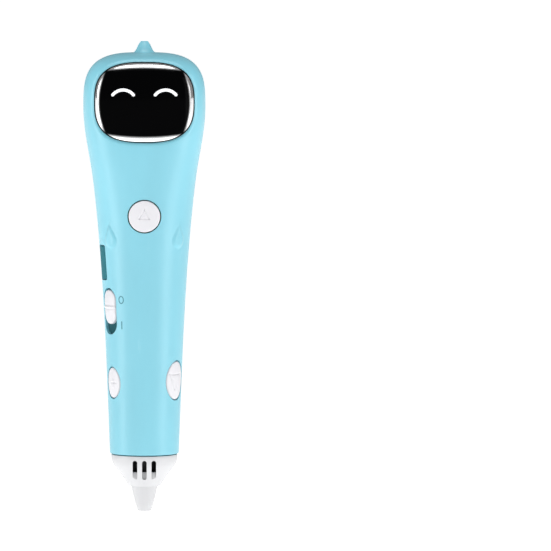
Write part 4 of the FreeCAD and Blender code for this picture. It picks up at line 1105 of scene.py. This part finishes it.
@dataclass
class Control:
    """A button, knob or window that follows the casing and sits in an opening."""

    name: str
    node: str
    body: str
    azimuth: float
    level: float
    half_width: float
    half_height: float
    symbol: Symbol = Symbol.NONE
    proud: float = 0.55
    crown: float = 0.35
    symbol_size: float = 2.2
    symbol_centre: tuple = (0.0, 0.0)
    foot_share: float = 0.72
    tip_share: float = 1.15
    engraving: float = 0.28
    stroke: float = 0.30
    shaded_stroke_share: float = 0.75
    slot: Slot = Slot.BUTTON
    slack: float = 0.10
    rim: Rim = field(default_factory=lambda: Rim(0.55, 0.45, 2.2))

    def __post_init__(self) -> None:
        """Settle the frame."""
        self.matrix = facing(self.azimuth, self.level)

    def outline(self, grow: float = 0.0) -> Outline:
        """The control's own outline, grown by a margin."""
        return superellipse(self.half_width + grow, self.half_height + grow, 2.0)

    def opening(self, gap: float) -> Outline:
        """The outline of the opening that it sits in."""
        return self.outline(gap)

    def strokes(self) -> list[tuple[tuple[float, float], tuple[float, float]]]:
        """Straight strokes of its symbol."""
        size = self.symbol_size
        across, up = self.symbol_centre
        if self.symbol is Symbol.PLUS:
            return [((across - size, up), (across + size, up)), ((across, up - size), (across, up + size))]
        if self.symbol in (Symbol.UP, Symbol.DOWN):
            turn = size if self.symbol is Symbol.UP else -size
            foot, tip = up - self.foot_share * turn, up + self.tip_share * turn
            corners = [(across - size, foot), (across + size, foot), (across, tip)]
            return list(zip(corners, corners[1:] + corners[:1]))
        return []

    def mark_strokes(self, mesh: bpy.types.Mesh, form: CasingForm) -> None:
        """Give the faces inside the symbol's strokes the second material number, whose dark grey is painted shade of
        the engraving.
        """
        strokes = self.strokes()
        if not strokes:
            return
        back = self.matrix.inverted()
        for polygon in mesh.polygons:
            spot = back @ polygon.center / MM
            near = min(float(line_distance(np.array(spot.x), np.array(spot.y), *ends)) for ends in strokes)
            polygon.material_index = int(near < self.stroke * self.shaded_stroke_share and spot.z > form.nearest)

    def height(self, form: CasingForm) -> Relief:
        """Top surface with its crown and symbol, over the casing."""
        casing = form.height_in(self.matrix)

        def top(across: Array, up: Array) -> Array:
            """Height at points."""
            share = np.clip((across / self.half_width) ** 2 + (up / self.half_height) ** 2, 0, 1)
            rise = casing(across, up) + self.proud - self.crown * share
            for start, end in self.strokes():
                rise = rise - self.engraving * np.exp(-(line_distance(across, up, start, end) / self.stroke) ** 2)
            if self.symbol is Symbol.RIDGE:
                rise = rise + Ridge().height(across / self.half_width, up)
            return rise
        return top

    def build(self, form: CasingForm, palette: Palette, rings: int = 64, segments: int = 200) -> bpy.types.Object:
        """Build and dress the control.

        Args:
            form: the casing that it follows.
            palette: the finishes.
            rings: rings of its top.
            segments: points round it.

        Returns:
            The piece.
        """
        piece = domed_cap(self.name, self.outline(-self.slack), self.height(form), self.rim, self.matrix,
                          self.body, rings, segments)
        self.mark_strokes(piece.data, form)
        # The stroke faces get dark grey: painted shade of the engraving.
        palette.dress(piece, self.slot, second=palette.engraving)
        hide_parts(self.node)
        LOG.info("%s built", self.name)
        return piece


@dataclass
class Slider(Control):
    """The power slider's knob, whose opening is longer than the knob by its travel."""

    travel: float = 3.3
    track_sink: float = 1.15
    mark_azimuth: float = -34.5
    mark_rise: float = 0.03
    mark_sink: float = 0.05
    ring_level: float = 81.7
    ring_half_width: float = 0.80
    ring_half_height: float = 1.15
    ring_stroke: float = 0.42
    bar_level: float = 72.0
    bar_half_width: float = 0.24
    bar_half_height: float = 1.55

    def outline(self, grow: float = 0.0) -> Outline:
        """An upright slot shape."""
        return stadium(self.half_width + grow, self.half_height + grow)

    def opening(self, gap: float) -> Outline:
        """The slot's outline about the knob's own frame."""
        shift = -self.travel / 2
        inner = stadium(self.half_width + gap, self.half_height + 2 * gap + self.travel / 2)

        def outline(angles: Array) -> tuple[Array, Array]:
            """The slot reaches down by the knob's travel."""
            across, up = inner(angles)
            return across, up + shift
        return outline

    def build_track(self, form: CasingForm, palette: Palette, gap: float) -> None:
        """Build the slot's floor, dark teal with painted shade."""
        casing = form.height_in(self.matrix)
        floor = domed_cap("slider_track", self.opening(gap - 0.02),
                          lambda across, up: casing(across, up) - self.track_sink,
                          Rim(0.1, 0.02, 0.5), self.matrix, PEN, rings=24, segments=160)
        # Dark teal on the floor: painted shade in the slot.
        palette.dress(floor, Slot.WINDOW, palette.shadow)

    def build_marks(self, form: CasingForm, palette: Palette) -> None:
        """Print a ring for off and a bar for on beside the slot."""
        angles = np.linspace(0, TURN, 48, endpoint=False)
        inner, outer = (np.stack([(self.ring_half_width + grow) * np.cos(angles),
                                  (self.ring_half_height + grow) * np.sin(angles)], axis=1)
                        for grow in (0.0, self.ring_stroke))
        bar = np.stack(stadium(self.bar_half_width, self.bar_half_height)(angles), axis=1)
        for name, level, inside, outside in (("mark_off", self.ring_level, inner, outer),
                                             ("mark_on", self.bar_level, bar * 0.05, bar)):
            matrix = facing(self.mark_azimuth, level)
            casing = form.height_in(matrix)
            corners = ((inside, -self.mark_sink), (inside, self.mark_rise),
                       (outside, self.mark_rise), (outside, -self.mark_sink))
            vertices = np.concatenate([np.column_stack([spot, casing(spot[:, 0], spot[:, 1]) + lift])
                                       for spot, lift in corners])
            piece = make_piece(name, transformed(matrix, vertices), loop_faces(4, len(angles)), PEN)
            palette.dress(piece, Slot.WINDOW, palette.print)


@dataclass
class Window(Control):
    """The indicator window: a rounded rectangle flush with the casing."""

    def outline(self, grow: float = 0.0) -> Outline:
        """A rectangle with small round corners."""
        return superellipse(self.half_width + grow, self.half_height + grow, 14.0)


# ---------------------------------------------------------------- face

@dataclass
class Face:
    """Glossy face plate and the two glowing eyes on it."""

    form: CasingForm
    palette: Palette
    proud: float = 0.4
    gap: float = 0.15
    rim: Rim = field(default_factory=lambda: Rim(1.7, 0.85, 1.0))
    eye_spacing: float = 8.06
    eye_radius: float = 5.05
    eye_top: float = 161.9
    eye_half_angle: float = 51.0
    eye_stroke: float = 1.15
    eye_dome: float = 0.07
    eye_sink: float = 0.01
    eye_depth: float = 0.5
    eye_steps: int = 81
    eye_strips: int = 13

    def build(self) -> None:
        """Build and dress the plate and the eyes."""
        form = self.form
        matrix = facing(0, form.face_level)
        casing = form.height_in(matrix)
        outline = superellipse(form.face_half_width - self.gap, form.face_half_height - self.gap,
                               form.face_squareness)
        plate = domed_cap("face_plate", outline, lambda across, up: casing(across, up) + self.proud, self.rim,
                          matrix, PEN, rings=60, segments=256)
        self.palette.dress(plate, Slot.FACE)
        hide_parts("face_lens")
        eyes = joined([self.eye(side, casing) for side in (-1, 1)])
        piece = make_piece("eyes", transformed(matrix, eyes[0]), eyes[1], PEN)
        self.palette.dress(piece, Slot.LIGHT_PIPE)
        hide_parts("eye_diffuser")
        LOG.info("face plate and eyes built")

    def eye(self, side: int, casing: Relief) -> tuple[Array, list]:
        """One smiling arc with round ends, in the face's frame.

        Args:
            side: -1 or 1.
            casing: height of the casing over the face's frame.

        Returns:
            Vertices in millimetres, and faces.
        """
        half = self.eye_stroke / 2
        span = math.radians(self.eye_half_angle) * self.eye_radius
        ease = np.sin(np.linspace(-1, 1, self.eye_steps) * math.pi / 2)
        run = ease * (span + half)
        excess = np.clip(abs(run) - span, 0, half)
        width = np.sqrt(np.maximum(half ** 2 - excess ** 2, 1e-6))
        angle = run / self.eye_radius
        spread = np.linspace(-1, 1, self.eye_strips)
        distance = self.eye_radius + width[:, None] * spread[None, :]
        across = side * self.eye_spacing + distance * np.sin(angle)[:, None]
        centre = self.eye_top - self.form.face_level - self.eye_radius
        up = centre + distance * np.cos(angle)[:, None]
        dome = self.eye_dome * np.sqrt(1 - 0.98 * spread[None, :] ** 2) - self.eye_sink
        top = casing(across, up) + self.proud + dome
        upper = np.stack([across, up, top], axis=-1)
        return closed_skins(upper, upper - np.array([0, 0, self.eye_depth]))


# ---------------------------------------------------------------- both ends

@dataclass
class FilamentInlet:
    """Bell-shaped knob on the crown round the filament's bore."""

    palette: Palette
    crown: float = 175.6
    top: float = 180.0
    bore: float = 1.3
    sink: float = 4.2
    stem: float = 2.6
    seat: float = 0.05
    flange: float = 0.4
    flange_inset: float = 0.1
    chamfer: float = 0.25
    bell: tuple = ((4.2, 0.0), (3.9, 0.22), (3.45, 0.7), (3.02, 1.4), (2.77, 1.95), (2.52, 2.5), (2.3, 2.95),
                   (2.1, 3.3), (1.85, 3.65), (1.62, 3.93), (1.5, 4.14), (1.4, 4.28), (1.34, 4.36))

    def build(self) -> None:
        """Turn and dress the knob."""
        base, foot = self.crown - self.seat, self.crown - self.sink
        flange = base - self.flange
        profile = [(self.bore, foot), (self.stem, foot), (self.stem, flange),
                   (self.bell[0][0] - self.flange_inset, flange)]
        profile += [(radius, base + rise) for radius, rise in self.bell]
        profile.append((self.bore, self.top - self.chamfer))
        piece = make_piece("inlet_knob", *lathe(profile, segments=128), PEN, sharp_degrees=50)
        self.palette.dress(piece, Slot.SHELL)
        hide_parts("filament_inlet")
        LOG.info("filament inlet built")


@dataclass
class NozzleEnd:
    """Vented cap, insulating cone and a dark ring in the gap between cap and casing, which stands for the gap's
    shade: painted shade.
    """

    palette: Palette
    top: float = 21.85
    radius: float = 12.65
    edge: float = 0.25
    shoulder: float = 6.2
    slope: float = 36.5
    straight: float = 0.9
    rim_level: float = 9.7
    rim_width: float = 0.42
    rim_height: float = 0.32
    flange_radius: float = 6.6
    flange_level: float = 12.0
    flange_height: float = 2.0
    hollow: tuple = ((9.2, 15.35), (10.3, 17.55))
    collar: tuple = (10.15, 11.1)
    collar_height: float = 5.25
    cone_radius: float = 5.05
    cone_level: float = 9.6
    cone_bulge: float = 0.16
    cone_bore: tuple = ((2.05, 14.0), (2.05, 3.95), (1.0, 1.45), (1.0, 0.15), (1.12, 0.0))
    tip_radius: float = 2.6
    tip_round: float = 0.35
    vent_spacing: float = 3.6
    vent_half_width: float = 0.875
    vent_bottom: float = 12.5
    vent_top: float = 20.15
    vent_floor: float = 7.3
    # Profile of the dark ring that fills the cap's gap: painted shade.
    gap_shade_ring: tuple = ((11.15, 21.7), (11.15, 22.4), (12.3, 22.4), (12.3, 22.15), (12.55, 22.1), (12.55, 21.7))

    def cap_profile(self) -> list[tuple[float, float]]:
        """Closed outline of the cap."""
        outer = arc((self.radius - self.edge, self.top - self.edge), (self.edge, self.edge), 90, 0, 5)
        outer += arc((self.radius - self.shoulder, self.top - self.straight), (self.shoulder, self.shoulder),
                     0, -self.slope, 18)
        across, level = outer[-1]
        foot = across - (level - self.rim_level) * math.tan(math.radians(self.slope))
        outer += [(across + (foot - across) * share, level + (self.rim_level - level) * share)
                  for share in (0.35, 0.7)]
        outer += arc((foot + 0.1, self.rim_level + self.rim_height), (self.rim_width, self.rim_height), -30, -90, 5)
        cone_bore = self.cone_radius + 0.15
        flange_bore = self.flange_radius + 0.05
        inside, outside = self.collar
        collar_top = self.top + self.collar_height
        inner = [(cone_bore, self.rim_level), (cone_bore, self.flange_level), (flange_bore, self.flange_level),
                 (flange_bore, self.hollow[0][1]), *self.hollow, (inside, self.top), (inside, collar_top),
                 (outside, collar_top), (outside, self.top)]
        return outer + inner

    def cone_profile(self) -> list[tuple[float, float]]:
        """Closed outline of the cone, from the tip's edge up and back down its bore."""
        tip = self.tip_round
        profile = arc((self.tip_radius - tip, tip), (tip, tip), -90, -8, 6)
        for share in np.linspace(0.08, 1, 12):
            bulge = self.cone_bulge * math.sin(math.pi * share)
            radius = self.tip_radius + (self.cone_radius - self.tip_radius) * share
            profile.append((radius + bulge, self.cone_level * share))
        flange = self.flange_level + 0.05
        profile += [(self.cone_radius, flange), (self.flange_radius, flange),
                    (self.flange_radius, self.flange_level + self.flange_height)]
        return [*profile, *self.cone_bore]

    def vents(self) -> list[tuple[Array, list]]:
        """Three upright slots at the front and three at the back."""
        half = (self.vent_top - self.vent_bottom) / 2
        outline = stadium(self.vent_half_width, half)
        return [prism(outline, shifted(turn, self.vent_bottom + half, step * self.vent_spacing),
                      self.vent_floor, TOOL_REACH, segments=64)
                for turn in (0, 180) for step in (-1, 0, 1)]

    def build(self) -> None:
        """Build and dress the three pieces."""
        cap = make_piece("vented_cap", *lathe(self.cap_profile()), PEN, sharp_degrees=40)
        cut_away(cap, self.vents())
        smoothed(cap.data, CUT_SHARP)
        self.palette.dress(cap, Slot.CAP)
        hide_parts("nozzle_cap")
        cone = make_piece("nozzle_sleeve", *lathe(self.cone_profile(), segments=128), PEN, sharp_degrees=40)
        self.palette.dress(cone, Slot.CAP)
        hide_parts("nozzle_cone")
        # A dark ring in the gap between cap and casing: painted shade of the gap.
        gap_shade_ring = make_piece("cap_gap_shade_ring", *lathe(self.gap_shade_ring, segments=128), PEN)
        self.palette.dress(gap_shade_ring, Slot.BLACK, self.palette.shadow)
        LOG.info("nozzle cap, cone and seal built")


@dataclass
class BackFittings:
    """Screws in their counterbores and the charging opening at the back."""

    palette: Palette
    screw_spots: tuple = ((-15.0, 164.0), (15.0, 164.0), (-7.6, 31.0), (7.6, 31.0))
    counterbore: float = 1.75
    seat: float = 4.0
    shank_radius: float = 0.85
    shank_length: float = 6.0
    head_radius: float = 1.6
    head_edge: float = 0.45
    head_height: float = 1.0
    cross_reach: float = 0.95
    cross_width: float = 0.2
    cross_level: float = 0.35
    well_radius: float = 2.3
    well_length: float = 9.2
    low_well_share: float = 0.62
    socket_level: float = 112.0
    socket_half_width: float = 4.62
    socket_half_height: float = 1.78
    socket_cut_from: float = 10.0

    def tools(self) -> list[tuple[Array, list]]:
        """What is cut out of the back half of the casing."""
        bore = superellipse(self.counterbore, self.counterbore, 2)
        tools = [prism(bore, shifted(180, level, -across), self.seat, TOOL_REACH, segments=64)
                 for across, level in self.screw_spots]
        opening = stadium(self.socket_half_height, self.socket_half_width)
        matrix = facing(180, self.socket_level) @ Matrix.Rotation(math.pi / 2, 4, "Z")
        return [*tools, prism(opening, matrix, self.socket_cut_from, TOOL_REACH, segments=96)]

    def screw_profile(self) -> list[tuple[float, float]]:
        """Closed outline of a pan-head screw."""
        dome = arc((0, self.head_edge), (self.head_radius, self.head_height - self.head_edge), 0, 88, 9)
        return [(self.shank_radius, -self.shank_length), (self.shank_radius, 0.0), (self.head_radius, 0.0),
                (self.head_radius, self.head_edge), *dome[1:], (0.001, -self.shank_length)]

    def build(self) -> None:
        """Build four pan-head screws with cross recesses, and the tubes that lead to them."""
        heads, tubes, cross = [], [], []
        turn = Matrix.Rotation(-math.pi / 2, 4, "X")
        for across, level in self.screw_spots:
            place = Matrix.Translation((across * MM, self.seat * MM, level * MM)) @ turn
            length = self.well_length * (1.0 if level > 100 else self.low_well_share)
            tube = [(self.counterbore, 0.0), (self.counterbore, length), (self.well_radius, length),
                    (self.well_radius, 0.0)]
            for parts, shape in ((heads, self.screw_profile()), (tubes, tube)):
                vertices, faces = lathe(shape, segments=48)
                parts.append((transformed(place, vertices / MM), faces))
            for sizes in ((self.cross_reach, self.cross_width), (self.cross_width, self.cross_reach)):
                cross.append(prism(superellipse(*sizes, 12), shifted(180, level, -across),
                                   self.seat + self.cross_level, self.seat + 3, segments=32))
        screws = make_piece("screws", *joined(heads), PEN)
        for bars in (cross[0::2], cross[1::2]):
            cut_away(screws, bars)
        smoothed(screws.data, CUT_SHARP)
        self.palette.dress(screws, Slot.STEEL)
        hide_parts("casing_screws")
        wells = make_piece("screw_wells", *joined(tubes), PEN)
        self.palette.dress(wells, Slot.SHELL)
        LOG.info("screws built")


# ---------------------------------------------------------------- studio

@dataclass(frozen=True)
class Softbox:
    """A rectangular light: angles in degrees, distance and size in metres, power in watts."""

    name: str
    azimuth: float
    lift: float
    reach: float
    size: tuple[float, float]
    power: float


@dataclass
class Studio:
    """Camera, lights and floor."""

    distance: float = 2.8
    elevation: float = 3.5
    aim: tuple = (0.0, 0.0, 0.09025)
    frame_height: float = 0.2107
    sensor: float = 36.0
    side_shift: float = 0.238
    view_depth: float = 200.0
    room_front: float = 0.20
    room_back: float = 0.22
    room_fade: float = 0.3
    floor_level: float = -0.08
    floor_size: float = 60.0
    floor_glow: float = 0.84
    floor_tones: tuple = ((0.93, 0.93, 0.93), (0.95, 0.95, 0.95))
    floor_tone_mm: float = 400.0
    lights: tuple = (Softbox("left_softbox", -72, 8, 0.75, (0.30, 0.8), 3.0),
                     Softbox("right_softbox", 62, 8, 0.75, (0.30, 0.8), 2.8),
                     Softbox("top_softbox", 0, 75, 0.9, (0.8, 0.6), 4.2))

    def hang(self, name: str, data: bpy.types.ID, azimuth: float, lift: float, reach: float) -> bpy.types.Object:
        """Put a camera or a light at a distance from the pen's middle, turned towards it.

        Args:
            name: the object's name.
            data: the camera or the light.
            azimuth: degrees from the front, positive towards +X.
            lift: degrees above the level.
            reach: distance in metres.

        Returns:
            The object.
        """
        piece = bpy.data.objects.new(name, data)
        turn, rise = math.radians(azimuth), math.radians(lift)
        offset = Vector((math.sin(turn) * math.cos(rise), -math.cos(turn) * math.cos(rise), math.sin(rise))) * reach
        piece.location = Vector(self.aim) + offset
        piece.rotation_euler = (-offset).to_track_quat("-Z", "Y").to_euler()
        bpy.context.scene.collection.objects.link(piece)
        return piece

    def camera(self) -> None:
        """Long-lens camera a little above the pen's middle."""
        data = bpy.data.cameras.new("camera")
        data.sensor_width = self.sensor
        data.lens = self.sensor * self.distance / self.frame_height
        data.shift_x = self.side_shift
        data.clip_end = self.view_depth
        bpy.context.scene.camera = self.hang("camera", data, 0, self.elevation, self.distance)

    def softboxes(self) -> None:
        """Hang every softbox."""
        for light in self.lights:
            data = bpy.data.lights.new(light.name, "AREA")
            data.shape = "RECTANGLE"
            data.size, data.size_y = light.size
            data.energy = light.power
            self.hang(light.name, data, light.azimuth, light.lift, light.reach)

    def surroundings(self) -> None:
        """An even room whose light differs a little in front of the pen and behind it."""
        world = bpy.data.worlds.new("studio")
        make = Shading(world.name, world)
        along = make.field("ShaderNodeSeparateXYZ", None,
                           {0: make.field("ShaderNodeTexCoord", output="Generated")}, "Y")
        light = make.field("ShaderNodeMapRange", {"interpolation_type": "SMOOTHSTEP"},
                           {0: along, 1: -self.room_fade, 2: self.room_fade, 3: self.room_front, 4: self.room_back})
        background = make.field("ShaderNodeBackground", None, {"Color": (1, 1, 1), "Strength": light})
        make.node("ShaderNodeOutputWorld", None, {"Surface": background})
        bpy.context.scene.world = world

    def floor(self) -> None:
        """A pale floor that stays white to its far edge."""
        size = self.floor_size
        corners = np.array([(-size, -size, 0), (size, -size, 0), (size, size, 0), (-size, size, 0)])
        corners[:, 2] = self.floor_level
        floor = make_piece("floor", corners, [(0, 1, 2, 3)], "")
        make = Shading("pale_floor")
        colour = make.blend(make.noise(self.floor_tone_mm, 2), *self.floor_tones)
        floor.data.materials.append(make.finish(Base_Color=colour, Roughness=0.9, Emission_Color=(1, 1, 1),
                                                Emission_Strength=self.floor_glow))

    def build(self) -> None:
        """Set the whole studio up."""
        self.camera()
        self.softboxes()
        self.surroundings()
        bpy.context.scene.view_settings.view_transform = "Standard"
        self.floor()


# ---------------------------------------------------------------- the whole pen

def main() -> None:
    """Build every piece in order."""
    logging.basicConfig(level=logging.INFO, format="%(message)s")
    palette = Palette()
    palette.dress_frame()
    form = CasingForm()
    casing = Casing(form, palette)
    slider = Slider("power_knob", "power_slider", "power_slider", -60.0, 78.75, 4.0, 6.65, Symbol.RIDGE,
                    0.6, 0.5, rim=Rim(0.7, 0.6, 1.3))
    window = Window("status_window", "indicator_window", PEN, -73.5, 95.55, 3.05, 6.4, proud=0.0, crown=0.0,
                    slot=Slot.WINDOW, rim=Rim(0.2, 0.12, 1.6))
    controls = [
        Control("feed_key", "feed_button", "feed_button", 0.0, 113.7, 6.1, 6.1, Symbol.UP, crown=0.2,
                symbol_size=1.8, symbol_centre=(0.0, 0.45)),
        Control("speed_key", "speed_button", "speed_button", -58.6, 49.7, 4.3, 5.9, Symbol.PLUS, proud=0.3,
                symbol_size=1.5, symbol_centre=(0.9, 0.1)),
        Control("reverse_key", "reverse_button", "reverse_button", 58.6, 50.6, 5.4, 7.4, Symbol.DOWN, proud=0.3,
                symbol_size=3.1, symbol_centre=(-0.9, 0.2)),
        slider,
        window,
    ]
    for control in controls:
        control.build(form, palette)
    slider.build_track(form, palette, casing.gap)
    slider.build_marks(form, palette)
    Face(form, palette).build()
    back = BackFittings(palette)
    casing.build(controls, back.tools())
    back.build()
    FilamentInlet(palette).build()
    NozzleEnd(palette).build()
    Studio().build()
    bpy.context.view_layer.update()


if __name__ == "__main__":
    main()
